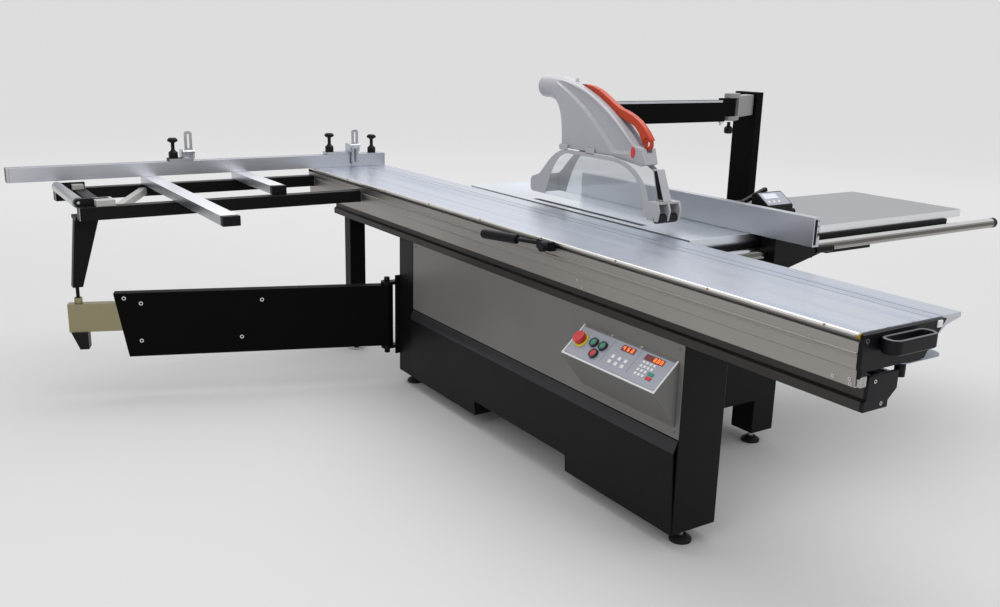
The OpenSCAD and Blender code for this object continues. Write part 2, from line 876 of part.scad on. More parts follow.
// A slotted finger with a round head, which reaches down and up from its pin
module flip_finger(x, down, up) {
    difference() {
        union() {
            rod_x(x, flip_pivot[0], flip_pivot[1], 9, flip_w);
            translate([x, flip_pivot[0] + 4, flip_pivot[1]])
                rotate([90, 0, 0])
                    linear_extrude(height = 8)
                        difference() {
                            translate([0, -down])
                                round_rect([flip_w, down + up], 12);
                            for (reach = [[16, up - 12], [12 - down, -16]])
                                if (reach[1] - reach[0] > 20)
                                    translate([flip_w / 2 - 5, reach[0]])
                                        round_rect([10, reach[1] - reach[0]], 4.9);
                        }
        }
        rod_x(x - eps, flip_pivot[0], flip_pivot[1], flip_pin_r + shaft_gap, flip_w + 1);
    }
}

left_flip_x = -614;
right_flip_x = 190;
left_knob_set = 57;
right_knob_set = 115;
short_end = 12;
flip_up = 78;
module left_stop() {
    color([0.25, 0.25, 0.26])
        stop_carrier(left_flip_x, left_knob_set);
}
module left_flip() {
    color([0.8, 0.8, 0.8])
        flip_finger(left_flip_x, short_end, flip_l);
}
module right_stop() {
    color([0.25, 0.25, 0.26])
        stop_carrier(right_flip_x, right_knob_set);
}
module right_flip() {
    color([0.8, 0.8, 0.8])
        flip_finger(right_flip_x, flip_l, flip_up);
}

// Swing arm and its telescopic tube, drawn along the arm from its hinge
tube_z = [tube_top - tube_h, tube_top];
arm_wall = 3;
tube_t = arm_t - 2 * arm_wall - 2 * tele_gap;
tube_end = leg_reach + 40;
tube_back = 560;
module on_arm() {
    translate([hinge_at[0], hinge_at[1], 0])
        rotate([0, 0, -arm_turn])
            children();
}

module arm_outline(i) {
    polygon([
        [-hinge_r - 14 - i, arm_z + i], [-arm_l + 45, arm_z + i], [-arm_l, arm_z + arm_h - i],
        [-hinge_r - 14 - i, arm_z + arm_h - i]
    ]);
}

module swing_arm() {
    color([0.12, 0.12, 0.13])
        on_arm()
            difference() {
                union() {
                    difference() {
                        along_y(-arm_t / 2, arm_t)
                            arm_outline(0);
                        along_y(-arm_t / 2 + arm_wall, arm_t - 2 * arm_wall)
                            translate([-eps, 0])
                                arm_outline(arm_wall);
                    }
                    for (z = [tube_z[0] - tele_gap - 4, tube_z[1] + tele_gap])
                        span([-arm_l + 60, -arm_t / 2 + 1, z], [-tube_back + 120, arm_t / 2 - 1, z + 4]);
                    translate([0, 0, arm_z])
                        cylinder(r = hinge_r, h = arm_h);
                    span([-hinge_r - 16, -arm_t / 2, arm_z], [0, arm_t / 2, arm_z + arm_h]);
                }
                translate([0, 0, arm_z - eps])
                    cylinder(r = hinge_pin_r + shaft_gap, h = arm_h + 1);
            }
}

module arm_tube() {
    on_arm() {
        color([0.72, 0.68, 0.55])
            difference() {
                span([-tube_end, -tube_t / 2, tube_z[0]], [-tube_back, tube_t / 2, tube_z[1]]);
                span([-tube_end + 6, -tube_t / 2 + 3, tube_z[0] + 3],
                    [-tube_back + eps, tube_t / 2 - 3, tube_z[1] - 3]);
            }
        color([0.12, 0.12, 0.13])
            along_y(-tube_t / 2 - 8, tube_t + 16)
                polygon([
                    [-tube_end + 8, tube_z[0]], [-tube_end + 70, tube_z[0]], [-tube_end + 70, tube_z[0] - 70],
                    [-tube_end + 36, tube_z[0] - 70]
                ]);
    }
}

// Saw unit, measured from the tilt axis on the table surface above the arbor
tilt_r = 165;
shoe_r = 185;
trunnion_t = 14;
trunnion_ys = [-394, 340];
plate_x = [76, 88];
plate_base = -435;
plate_top = -162;
lift_rod_r = 11;
lift_rod_x = 112;
lift_rod_ys = [-90, 90];
pulley_x = [16, 36];
arbor_pulley_r = 26;
motor_pulley_r = 34;
motor_at = [-180, -395];
motor_shaft_r = 12;
motor_x = [92, 212];
flange_r = 50;
housing_x = [38, 70];
housing_r = 24;
belt_t = 5;
knife_y = [205, 240];
scoring_at = [-290, -80];
scoring_r = 60;
spindle_r = 8;

module at_tilt() {
    translate([blade_x, blade_y, table_h])
        children();
}

module trunnions() {
    color([0.4, 0.41, 0.42])
        at_tilt()
            for (y = trunnion_ys)
                intersection() {
                    rod_y(0, y, 0, tilt_r, trunnion_t);
                    span([-14, y, -tilt_r], [tilt_r, y + trunnion_t, -main_t]);
                }
}

// Sector of a circle in x and z, from one angle to another off straight down
module sector(r, a0, a1) {
    polygon(concat([[0, 0]], [for (a = [a0 : (a1 - a0) / 4 : a1]) [r * sin(a), -r * cos(a)]]));
}

module tilt_frame() {
    color([0.35, 0.36, 0.37])
        at_tilt() {
            for (y = trunnion_ys)
                difference() {
                    intersection() {
                        rod_y(0, y, 0, shoe_r, trunnion_t);
                        along_y(y - eps, trunnion_t + 1)
                            sector(2 * shoe_r, -5, 30);
                    }
                    rod_y(0, y - eps, 0, tilt_r + run_gap, trunnion_t + 1);
                }
            difference() {
                span([plate_x[0], trunnion_ys[0], plate_base],
                    [plate_x[1], trunnion_ys[1] + trunnion_t, plate_top]);
                span([plate_x[0] - eps, -50, -arbor_drop - 55], [plate_x[1] + eps, 50, 0]);
                span([plate_x[0] - eps, motor_at[0] - 24, motor_at[1] - 24],
                     [plate_x[1] + eps, motor_at[0] + 24, motor_at[1] + lift_travel + 24]);
                span([plate_x[0] - eps, knife_y[0] - 10, -arbor_drop - 70],
                    [plate_x[1] + eps, knife_y[1] + 10, 0]);
            }
            for (y = lift_rod_ys) {
                for (z = [plate_base, -195])
                    span([plate_x[1], y - 16, z], [lift_rod_x + 14, y + 16, z + 15]);
                translate([lift_rod_x, y, plate_base + 5])
                    cylinder(r = lift_rod_r, h = -195 - plate_base);
            }
            difference() {
                union() {
                    rod_x(8, scoring_at[0], scoring_at[1], 14, 26);
                    span([20, scoring_at[0] - 13, -205], [34, scoring_at[0] + 13, scoring_at[1]]);
                    span([20, scoring_at[0] - 13, -205], [plate_x[0], scoring_at[0] + 13, -180]);
                }
                rod_x(7, scoring_at[0], scoring_at[1], spindle_r + shaft_gap, 30);
            }
        }
}

module lift_carriage() {
    color([0.45, 0.46, 0.47])
        at_tilt()
            difference() {
                union() {
                    span([plate_x[1] + 4, -110, -355], [132, knife_y[1] + 5, -285]);
                    span([plate_x[1] + 4, -22, -285], [lift_rod_x - 2, 22, -arbor_drop]);
                    span([housing_x[0] + 16, -22, -arbor_drop - 40], [lift_rod_x - 2, 22, -arbor_drop]);
                    rod_x(housing_x[0], 0, -arbor_drop, housing_r, housing_x[1] - housing_x[0]);
                    span([plate_x[1] + 4, knife_y[0], -285], [lift_rod_x - 2, knife_y[1], -250]);
                    span([1.5, knife_y[0], -280], [lift_rod_x - 2, knife_y[1], -250]);
                    span([100, -150, -352], [172, -100, -290]);
                }
                rod_x(housing_x[0] - eps, 0, -arbor_drop, arbor_r + shaft_gap,
                    housing_x[1] - housing_x[0] + 60);
                rod_x(motor_x[0] - 1, motor_at[0], motor_at[1], motor_r + 0.05, motor_x[1]);
                for (y = lift_rod_ys)
                    translate([lift_rod_x, y, -400])
                        cylinder(r = lift_rod_r + shaft_gap, h = 200);
            }
}

module main_motor() {
    color([0.25, 0.3, 0.36])
        at_tilt()
            difference() {
                union() {
                    rod_x(motor_x[0], motor_at[0], motor_at[1], motor_r, motor_x[1] - motor_x[0]);
                    rod_x(motor_x[0] + 6, motor_at[0], motor_at[1] - 6, motor_r - 2, 60);
                }
                rod_x(motor_x[0] - eps, motor_at[0], motor_at[1], motor_shaft_r + shaft_gap, 24);
            }
}

module belt_outline(extra) {
    hull() {
        translate([0, -arbor_drop])
            circle(r = arbor_pulley_r + extra, $fn = 32);
        translate([motor_at[0], motor_at[1]])
            circle(r = motor_pulley_r + extra, $fn = 32);
    }
}

module drive_belt() {
    color([0.08, 0.08, 0.08])
        at_tilt()
            along_x(pulley_x[0] + 2, pulley_x[1] - pulley_x[0] - 4)
                difference() {
                    belt_outline(belt_t + 0.5);
                    belt_outline(0.5);
                }
}

module arbor() {
    color([0.7, 0.71, 0.73])
        at_tilt() {
            rod_x(-22, 0, -arbor_drop, arbor_r, housing_x[1] + 24);
            rod_x(blade_t / 2, 0, -arbor_drop, flange_r, 9);
            rod_x(-blade_t / 2 - 9, 0, -arbor_drop, flange_r, 9);
            rod_x(pulley_x[0], 0, -arbor_drop, arbor_pulley_r, pulley_x[1] - pulley_x[0]);
            translate([-20, 0, -arbor_drop])
                rotate([0, 90, 0])
                    cylinder(r = 23, h = 10, $fn = 6);
        }
}

// Saw blade with its teeth as gullets cut from the rim
tooth_n = 48;
module saw_blade() {
    color([0.78, 0.79, 0.8])
        at_tilt()
            translate([-blade_t / 2, 0, -arbor_drop])
                rotate([0, 90, 0])
                    difference() {
                        cylinder(r = blade_r, h = blade_t, $fn = 96);
                        translate([0, 0, -eps])
                            cylinder(r = arbor_r + 0.02, h = blade_t + 1);
                        for (k = [0 : tooth_n - 1])
                            rotate([0, 0, k * 360 / tooth_n])
                                translate([blade_r, 0, -eps])
                                    linear_extrude(height = blade_t + 1)
                                        polygon([[2, -1], [-10, 0], [-7, 5], [2, 9]]);
                    }
}

module riving_knife() {
    color([0.6, 0.61, 0.63])
        at_tilt()
            translate([-1.5, 0, -arbor_drop])
                along_x(0, 3)
                    difference() {
                        intersection() {
                            circle(r = blade_r + 46, $fn = 96);
                            polygon(concat([[0, 0]], [for (a = [-16 : 11 : 50]) 400 * [cos(a), sin(a)]]));
                        }
                        circle(r = blade_r + 6, $fn = 96);
                    }
}

module motor_pulley() {
    color([0.5, 0.51, 0.52])
        at_tilt() {
            rod_x(pulley_x[0], motor_at[0], motor_at[1], motor_pulley_r, pulley_x[1] - pulley_x[0]);
            rod_x(pulley_x[0] - 6, motor_at[0], motor_at[1], motor_shaft_r,
                motor_x[0] + 20 - pulley_x[0] + 6);
        }
}

module scoring_blade() {
    color([0.75, 0.76, 0.78])
        at_tilt() {
            rod_x(-1.6, scoring_at[0], scoring_at[1], scoring_r, 3.2);
            rod_x(-8, scoring_at[0], scoring_at[1], 18, 14);
            rod_x(-8, scoring_at[0], scoring_at[1], spindle_r, 44);
        }
}

// Rip fence on its carrier
carrier_x = [rip_x + rip_t + 2, rip_x + 224];
glide_z = table_h + 1;
carrier_grip_r = 12;
handle_y = rail_y - rail_r - carrier_grip_r - 3;
carrier_y = handle_y - carrier_grip_r;
fence_slot_z = glide_z + 40;
rip_y = rail_y - 223;
module rip_carrier() {
    color([0.13, 0.13, 0.14])
        difference() {
            union() {
                span([carrier_x[0], carrier_y, rail_z - 26], [carrier_x[1], rail_y + 14, glide_z + 16]);
                span([carrier_x[0], carrier_y, glide_z], [carrier_x[1], rail_y + 200, glide_z + 16]);
                span([carrier_x[0], rail_y + 10, glide_z], [carrier_x[0] + 50, rail_y + 200, glide_z + 66]);
                span([rip_x + rip_t - 3, rail_y + 20, fence_slot_z - 5.4],
                     [carrier_x[0] + 1, rail_y + 190, fence_slot_z + 5.4]);
                span([rip_x + rip_t - 11.4, rail_y + 20, fence_slot_z - 9.4],
                     [rip_x + rip_t - 5.6, rail_y + 190, fence_slot_z + 9.4]);
                span([rip_x + rip_t - 6, rail_y + 20, fence_slot_z - 5.4],
                     [rip_x + rip_t - 2, rail_y + 190, fence_slot_z + 5.4]);
                rod_x(carrier_x[1], handle_y, rail_z - 4, 7, 30);
                rod_x(carrier_x[1] + 24, handle_y, rail_z - 4, carrier_grip_r, 90);
            }
            rod_x(carrier_x[0] - eps, rail_y, rail_z, rail_r + shaft_gap, carrier_x[1] - carrier_x[0] + 1);
        }
}

module rip_fence() {
    color([0.78, 0.79, 0.81])
        along_y(rip_y, rip_l)
            difference() {
                translate([rip_x, glide_z])
                    square([rip_t, rip_h]);
                translate([rip_x + 4, glide_z + 6])
                    square([rip_t - 18, rip_h - 12]);
                for (z = [fence_slot_z, glide_z + rip_h - 20]) {
                    translate([rip_x + rip_t - 6, z - 6])
                        square([6 + eps, 12]);
                    translate([rip_x + rip_t - 12, z - 10])
                        square([7, 20]);
                }
            }
}

lever_at = [carrier_x[0] + 25, rail_y + 150, glide_z + 66 + 14];
lever_pin_r = 5;
lever_lean = 70;
lever_l = 132;
module rip_lever() {
    color([0.1, 0.1, 0.1])
        translate(lever_at)
            difference() {
                union() {
                    rod_y(0, -10, 0, 13, 20);
                    rotate([0, lever_lean, 0])
                        span([-7, -8, 5], [7, 8, lever_l]);
                }
                rod_y(0, -11, 0, lever_pin_r + shaft_gap, 22);
            }
}

// Readout on the carrier, with the lever's fork and the micro adjuster knob
readout_x = [carrier_x[0] + 52, carrier_x[0] + 176];
readout_y = [rail_y + 46, rail_y + 118];
fork_t = 8;
fork_y = 10.5;
module rip_readout() {
    color([0.18, 0.18, 0.19]) {
        along_x(readout_x[0], readout_x[1] - readout_x[0])
            polygon([
                [readout_y[0] + 8, glide_z + 16], [readout_y[1], glide_z + 16],
                    [readout_y[1] + 6, glide_z + 116],
                [readout_y[1] - 12, glide_z + 124], [readout_y[0], glide_z + 84], [readout_y[0], glide_z + 72]
            ]);
        rod_x(readout_x[1], readout_y[0] + 34, glide_z + 52, 6, 20);
        rod_x(readout_x[1] + 18, readout_y[0] + 34, glide_z + 52, 12, 26);
        for (y = [lever_at[1] - fork_y - fork_t, lever_at[1] + fork_y]) {
            span([lever_at[0] - 10, y, glide_z + 66], [lever_at[0] + 10, y + fork_t, lever_at[2]]);
            rod_y(lever_at[0], y, lever_at[2], 10, fork_t);
        }
        rod_y(lever_at[0], lever_at[1] - 15, lever_at[2], lever_pin_r, 30);
    }
}

// Overhead guard: boom, hood, shield that rises, rollers and lever
hood_x = blade_x - hood_w / 2;
boom_y = link_end[1];
boom_t = 44;
boom_end = link_end[0] - knuckle_r - 20;
module guard_boom() {
    color([0.1, 0.1, 0.11])
        difference() {
            union() {
                span([hood_x + hood_w, boom_y - boom_t / 2, boom_z - boom_h / 2],
                     [boom_end, boom_y + boom_t / 2, boom_z + boom_h / 2]);
                span([boom_end - 1, boom_y - 20, link_z + 13],
                    [link_end[0], boom_y + 20, link_z + link_h - 13]);
                translate([link_end[0], link_end[1], link_z + 13])
                    cylinder(r = knuckle_r - 3, h = link_h - 26);
            }
            translate([link_end[0], link_end[1], link_z])
                cylinder(r = pin_r + shaft_gap, h = link_h);
        }
}

hood_base = table_h + 230;
hood_wall = 4;
band_rim = 9;
band_deep = 1.6;
// Tail of the hood, the round port for a hose
port_r = 42;
port_wall = 4;
port_l = 45;
tail_y = 200;
tail_z = [175, 261];
port_z = hood_base + (tail_z[0] + tail_z[1]) / 2;
// Lever in a channel along the crest
lever_w = 22;
channel_w = lever_w + 4;
channel_deep = 18;
lever_pivot = [blade_y - 10, hood_base + 224];
lever_axle_r = 4;
lever_eye = [-353, -172];
// Shield sizes; its tabs run in guides on the hood
shield_x = [blade_x - 52, blade_x + 52];
shield_t = 3;
window_deep = 1;
boom_notch = 10;
boom_gap = 6;
shield_base = table_h + guard_gap;
shield_top = hood_base - 3;
tab_ys = [blade_y - 130, blade_y + 30];
tab_l = 50;
tab_h = 46;
slide_gap = 0.4;
guide_t = shield_x[1] - shield_t - slide_gap - blade_x - hood_w / 2;

// Curves of the hood, from the arbor's place and the hood's lower edge, drawn down by i
function crest(i) = bezier([tail_y, tail_z[1] - i], [50, 257 - i], [-80, 220 - i], [-216, 132 - i], 8);
function brow(i) = bezier([-216, 132 - i], [-260, 105 - i], [-300, 70 - i], [-338, 45 - i], 3);

module hood_outline() {
    translate([blade_y, hood_base])
        polygon(concat(
            bezier([99, 0], [99, 95], [112, 171], [tail_y, tail_z[0]], 6), crest(0), brow(0),
            [[-385, 37], [-408, -15], [-380, -22], [-200, 0]]
        ));
}

module hood_hollow() {
    translate([blade_y, hood_base])
        polygon(concat(
            bezier([94, -30], [94, 92], [104, 182], [tail_y - 12, tail_z[0] + 8], 5),
            [for (p = crest(24)) [min(p[0], tail_y - 12), p[1]]], [[-325, 24], [-376, 18], [-388, -40]]
        ));
}

// Channel along the crest for the lever, open at the brow
module lever_channel() {
    translate([blade_y, hood_base])
        polygon(concat(
            [for (p = crest(channel_deep)) if (p[0] < 0) p], brow(channel_deep),
            [[-420, 20], [-420, 300], [14, 300], [14, lever_pivot[1] - hood_base - 14]]
        ));
}

// Sunk band on each side of the hood, between the crest and a crease that falls to the nose
module band_outline() {
    translate([blade_y, hood_base])
        polygon(concat(
            [for (p = crest(band_rim)) if (p[0] < 130) p], brow(band_rim),
            [[-325, 20], [-264, 8]], bezier([-222, 14], [-150, 84], [-40, 184], [128, 238], 8)
        ));
}

module guard_hood() {
    color([0.85, 0.86, 0.88])
        difference() {
            union() {
                along_x(hood_x, hood_w)
                    hood_outline();
                rod_y(blade_x, blade_y + tail_y - 10, port_z, port_r, port_l + 10);
            }
            along_x(hood_x + hood_wall, hood_w - 2 * hood_wall)
                hood_hollow();
            along_x(blade_x - channel_w / 2, channel_w)
                lever_channel();
            for (x = [hood_x - eps, hood_x + hood_w - band_deep])
                along_x(x, band_deep + eps)
                    band_outline();
            rod_y(blade_x, blade_y + tail_y - 60, port_z, port_r - port_wall, port_l + 61);
        }
    // Guides for the shield's tabs and the pin of the lever
    color([0.8, 0.81, 0.83]) {
        for (y = tab_ys, side = [-1, 1])
            translate([blade_x + side * (hood_w / 2 + guide_t / 2), y + tab_l / 2, hood_base + 30])
                cube([guide_t, tab_l - 10, 60], center = true);
        rod_x(blade_x - channel_w / 2 - 4, lever_pivot[0], lever_pivot[1], lever_axle_r, channel_w + 8);
    }
}

// Side plate of the shield: an arch between a front foot and a rear foot
module shield_outline() {
    translate([blade_y, shield_base])
        polygon(concat(
            [[-484, 4], [-492, 40], [-480, 69]],
            bezier([-434, 69], [-415, 143], [-340, shield_top - shield_base],
                [-220, shield_top - shield_base], 6),
            bezier([40, shield_top - shield_base], [130, 183], [170, 108], [211, 83], 6),
            [[262, 67], [262, 12], [200, 12], [-434, 12], [-434, 4]]
        ));
    for (y = tab_ys)
        translate([y, shield_top - 1])
            square([tab_l, tab_h]);
}

// Clear window inside the arch
module window_outline() {
    translate([blade_y, shield_base])
        polygon(concat(
            [[-412, 24]],
            bezier([-418, 40], [-405, 110], [-345, 181], [-220, 181], 5),
            bezier([30, 181], [100, 172], [130, 100], [160, 24], 5)
        ));
}

roller_at = [blade_y - 468, shield_base + 12];
front_w = 34;
cheek_t = 8;
guard_roller_r = 16;
guard_axle_r = 4;
module guard_shield() {
    color([0.85, 0.9, 0.93]) {
        difference() {
            for (x = [shield_x[0], shield_x[1] - shield_t])
                along_x(x, shield_t)
                    shield_outline();
            for (x = [shield_x[0] - eps, shield_x[1] - window_deep])
                along_x(x, window_deep + eps)
                    window_outline();
            span([shield_x[1] - shield_t - eps, boom_y - boom_t / 2 - boom_gap, shield_top - boom_notch],
                 [shield_x[1] + eps, boom_y + boom_t / 2 + boom_gap, shield_top + eps]);
            rod_x(shield_x[0] - eps, roller_at[0], roller_at[1], guard_axle_r + shaft_gap,
                shield_x[1] - shield_x[0] + 1);
        }
        for (x = [shield_x[0], blade_x - cheek_t / 2, shield_x[1] - cheek_t])
            difference() {
                along_x(x, cheek_t)
                    translate([blade_y, shield_base])
                        polygon([[-484, 4], [-434, 4], [-434, 69], [-480, 69], [-492, 40]]);
                rod_x(x - eps, roller_at[0], roller_at[1], guard_axle_r + shaft_gap, cheek_t + 1);
            }
        span([shield_x[0], blade_y - 480, shield_base + 61], [shield_x[1], blade_y - 434, shield_base + 69]);
        span([shield_x[0], blade_y - 440, shield_base + 24], [shield_x[1], blade_y - 434, shield_base + 69]);
        along_x(shield_x[0], shield_x[1] - shield_x[0])
            translate([blade_y, shield_base])
                polygon([[202, 12], [262, 12], [262, 67], [214, 82]]);
        along_x(blade_x - front_w / 2, front_w)
            translate([blade_y, shield_base])
                polygon([[-478, 69], [-436, 69], [-410, 171], [-432, 173]]);
    }
}

module guard_rollers() {
    color([0.08, 0.08, 0.08]) {
        for (x = [[shield_x[0] + cheek_t + 1, blade_x - cheek_t / 2 - 1],
            [blade_x + cheek_t / 2 + 1, shield_x[1] - cheek_t - 1]])
            rod_x(x[0], roller_at[0], roller_at[1], guard_roller_r, x[1] - x[0]);
        rod_x(shield_x[0], roller_at[0], roller_at[1], guard_axle_r, shield_x[1] - shield_x[0]);
    }
}

module guard_handle() {
    color([0.85, 0.25, 0.12])
        difference() {
            along_x(blade_x - lever_w / 2, lever_w)
                translate(lever_pivot) {
                    circle(r = 12);
                    polygon(concat(
                        bezier([0, 12], [-90, 10], [-140, -40], [-205, -62], 6),
                        bezier([-205, -62], [-290, -80], [-330, -106], [-373, -157], 6),
                        bezier([-336, -184], [-310, -126], [-290, -114], [-235, -102], 5),
                        bezier([-235, -102], [-175, -84], [-105, -32], [0, -12], 6)
                    ));
                    translate(lever_eye)
                        circle(r = 20);
                }
            rod_x(blade_x - lever_w, lever_pivot[0] + lever_eye[0], lever_pivot[1] + lever_eye[1],
                10, 2 * lever_w);
            rod_x(blade_x - lever_w, lever_pivot[0], lever_pivot[1], lever_axle_r + shaft_gap, 2 * lever_w);
        }
}

// Push buttons
module e_stop() {
    color([0.8, 0.1, 0.08])
        on_pod()
            translate([estop_at[0], estop_at[1], -12]) {
                cylinder(r = estop_stem_r, h = 20);
                translate([0, 0, 20])
                    cylinder(r = 21, h = 14);
            }
}

module push_button(at) {
    on_pod()
        translate([at[0], at[1], -12])
            cylinder(r = button_r, h = 20);
}

module start_button() {
    color([0.1, 0.6, 0.4])
        push_button(start_at);
}
module second_start_button() {
    color([0.1, 0.6, 0.4])
        push_button(second_at);
}
module stop_button() {
    color([0.8, 0.2, 0.15])
        push_button(stop_at);
}

placed() base_cabinet();
placed() side_panel();
placed() lower_panel();
placed() control_box();
placed() control_plate();
placed() leveling_feet();
placed() slide_beam();
placed() guide_rods();
placed() beam_end_caps();
placed() beam_post();
placed() main_table();
placed() right_table();
placed() rail_supports();
placed() rip_rail();
placed() guard_post();
placed() arm_hinge();
placed() trunnions();
placed() tilt_frame();
placed() lift_carriage();
placed() main_motor();
placed() drive_belt();
placed() arbor();
placed() saw_blade();
placed() riving_knife();
placed() motor_pulley();
placed() scoring_blade();
placed() sliding_table();
placed() table_end_caps();
placed() push_handle();
placed() bearing_blocks();
placed() lock_plate();
placed() lock_plunger();
placed() side_grip();
placed() grip_knob();
placed() outrigger_frame();
placed() support_bars();
placed() corner_casting();
placed() end_roller();
placed() outrigger_leg();
placed() crosscut_fence();
placed() fence_extension();
placed() left_stop();
placed() left_flip();
placed() right_stop();
placed() right_flip();
placed() swing_arm();
placed() arm_tube();
placed() rip_carrier();
placed() rip_fence();
placed() rip_lever();
placed() rip_readout();
placed() guard_boom();
placed() guard_hood();
placed() guard_shield();
placed() guard_rollers();
placed() guard_handle();
placed() e_stop();
placed() start_button();
placed() second_start_button();
placed() stop_button();
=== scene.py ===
import json
import math
import bmesh
import bpy
from mathutils import Matrix, Vector


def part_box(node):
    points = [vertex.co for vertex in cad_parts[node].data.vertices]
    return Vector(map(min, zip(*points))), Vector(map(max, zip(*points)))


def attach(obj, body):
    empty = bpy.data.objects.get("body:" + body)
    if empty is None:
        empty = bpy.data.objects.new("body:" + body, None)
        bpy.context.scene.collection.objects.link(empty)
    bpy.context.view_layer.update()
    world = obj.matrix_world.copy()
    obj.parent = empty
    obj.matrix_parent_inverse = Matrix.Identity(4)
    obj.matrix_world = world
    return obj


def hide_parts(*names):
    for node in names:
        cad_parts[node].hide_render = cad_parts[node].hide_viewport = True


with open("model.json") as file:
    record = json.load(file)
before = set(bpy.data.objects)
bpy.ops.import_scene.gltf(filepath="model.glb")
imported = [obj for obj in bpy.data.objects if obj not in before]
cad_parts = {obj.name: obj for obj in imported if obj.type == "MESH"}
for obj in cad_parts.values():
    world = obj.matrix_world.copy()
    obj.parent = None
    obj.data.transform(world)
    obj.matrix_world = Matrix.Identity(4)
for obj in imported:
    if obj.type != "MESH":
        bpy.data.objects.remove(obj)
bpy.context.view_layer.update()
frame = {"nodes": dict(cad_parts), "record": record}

nodes = frame["nodes"]
bodies = frame["record"]["behaviour"]["bodies"]
bodyOf = {node: body for body, members in bodies.items() for node in members}
slotOf = {part["node"]: part["material_slot"] for part in frame["record"]["subparts"]}
mm = 0.001
quarter = math.pi / 2
print("frame loaded:", len(nodes), "nodes")


# makers of nodes
def feed(tree, node, values):
    # a socket is linked to the named input, any other value becomes the input's own
    for name, value in values.items():
        if isinstance(value, bpy.types.NodeSocket):
            tree.links.new(value, node.inputs[name])
        else:
            node.inputs[name].default_value = value


def addNode(tree, kind, values=None, **settings):
    # a node with its settings and inputs, of which the outputs are handed back
    node = tree.nodes.new(kind)
    for name, value in settings.items():
        setattr(node, name, value)
    feed(tree, node, values or {})
    return node.outputs


def newFinish(name):
    finish = bpy.data.materials.new(name)
    finish.use_nodes = True
    return finish, finish.node_tree, finish.node_tree.nodes["Principled BSDF"]


# camera, at the place and turn that the photograph was taken from
cameraSet = {
    "place": (-2.174, -2.886, 1.429),
    "heading": math.radians(33.12),  # clockwise from the feed direction
    "pitch": math.radians(-14.91),
    "roll": math.radians(1.41),
    "lens": 35.24,
    "sensor": 36.0,
    "farEnd": 200.0,
}


def addCamera(setup):
    lens = bpy.data.cameras.new("photoCamera")
    lens.lens = setup["lens"]
    lens.sensor_fit = "HORIZONTAL"
    lens.sensor_width = setup["sensor"]
    lens.clip_end = setup["farEnd"]
    camera = bpy.data.objects.new("photoCamera", lens)
    turn = Matrix.Rotation(-setup["heading"], 4, "Z")
    tip = Matrix.Rotation(quarter + setup["pitch"], 4, "X")
    lean = Matrix.Rotation(setup["roll"], 4, "Z")
    camera.matrix_world = Matrix.Translation(setup["place"]) @ turn @ tip @ lean
    bpy.context.scene.collection.objects.link(camera)
    bpy.context.scene.camera = camera


# studio: a pale floor, an even sky and large soft lamps
studioSet = {
    "floorRadius": 45.0,
    "floorNear": 0.61,  # reflectance under the lamps and far from them, so that the floor looks even
    "floorFar": 1.0,
    "floorSpan": (2.0, 9.0),
    "floorRoughness": 0.9,
    "skyColour": (0.80, 0.80, 0.80),
    "skyStrength": 0.90,
    "lamps": {  # place, aim, size and power
        "overhead": ((0.6, 0.8, 4.6), (0.1, 0.2, 0.6), (5.0, 5.0), 165.0),
        "operatorSide": ((-5.0, -2.0, 3.4), (0.0, 0.0, 0.5), (3.0, 2.5), 45.0),
        "frontSide": ((1.0, -6.0, 3.6), (0.3, -0.5, 0.6), (4.0, 2.0), 40.0),
        "farSide": ((2.5, 5.5, 3.6), (0.2, 0.5, 0.8), (6.0, 2.0), 22.0),
    },
}


def addStudio(setup):
    world = bpy.data.worlds.new("evenSky")
    world.use_nodes = True
    sky = {"Color": (*setup["skyColour"], 1.0), "Strength": setup["skyStrength"]}
    feed(world.node_tree, world.node_tree.nodes["Background"], sky)
    bpy.context.scene.world = world
    for name, (place, aim, size, power) in setup["lamps"].items():
        light = bpy.data.lights.new(name, "AREA")
        light.shape = "RECTANGLE"
        light.size, light.size_y = size
        light.energy = power
        holder = bpy.data.objects.new(name, light)
        turn = (Vector(place) - Vector(aim)).to_track_quat("Z", "Y")
        holder.matrix_world = Matrix.Translation(place) @ turn.to_matrix().to_4x4()
        bpy.context.scene.collection.objects.link(holder)
    sheet = bmesh.new()
    bmesh.ops.create_circle(sheet, cap_ends=True, segments=96, radius=setup["floorRadius"])
    mesh = bpy.data.meshes.new("paleFloor")
    sheet.to_mesh(mesh)
    sheet.free()
    floor = bpy.data.objects.new("paleFloor", mesh)
    bpy.context.scene.collection.objects.link(floor)
    finish, tree, shader = newFinish("pale floor")
    place = addNode(tree, "ShaderNodeTexCoord")["Object"]
    near, far = setup["floorSpan"]
    tone = addNode(tree, "ShaderNodeMapRange", {
        "Value": addNode(tree, "ShaderNodeVectorMath", {0: place}, operation="LENGTH")["Value"],
        "From Min": near,
        "From Max": far,
        "To Min": setup["floorNear"],
        "To Max": setup["floorFar"],
    }, interpolation_type="SMOOTHSTEP")["Result"]
    feed(tree, shader, {
        "Base Color": tone,
        "Roughness": setup["floorRoughness"],
        "Specular IOR Level": 0.0,
    })
    mesh.materials.append(finish)


addCamera(cameraSet)
addStudio(studioSet)
bpy.context.scene.view_settings.view_transform = "Standard"
print("camera and studio set")


# shader groups that the finishes share
def newGroup(name, values, outputs):
    group = bpy.data.node_groups.new(name, "ShaderNodeTree")
    for label, value in values.items():
        kind = "NodeSocketVector" if isinstance(value, tuple) else "NodeSocketFloat"
        socket = group.interface.new_socket(name=label, in_out="INPUT", socket_type=kind)
        socket.default_value = value
    for label in outputs:
        group.interface.new_socket(name=label, in_out="OUTPUT", socket_type="NodeSocketFloat")
    return group, group.nodes.new("NodeGroupInput").outputs, group.nodes.new("NodeGroupOutput")


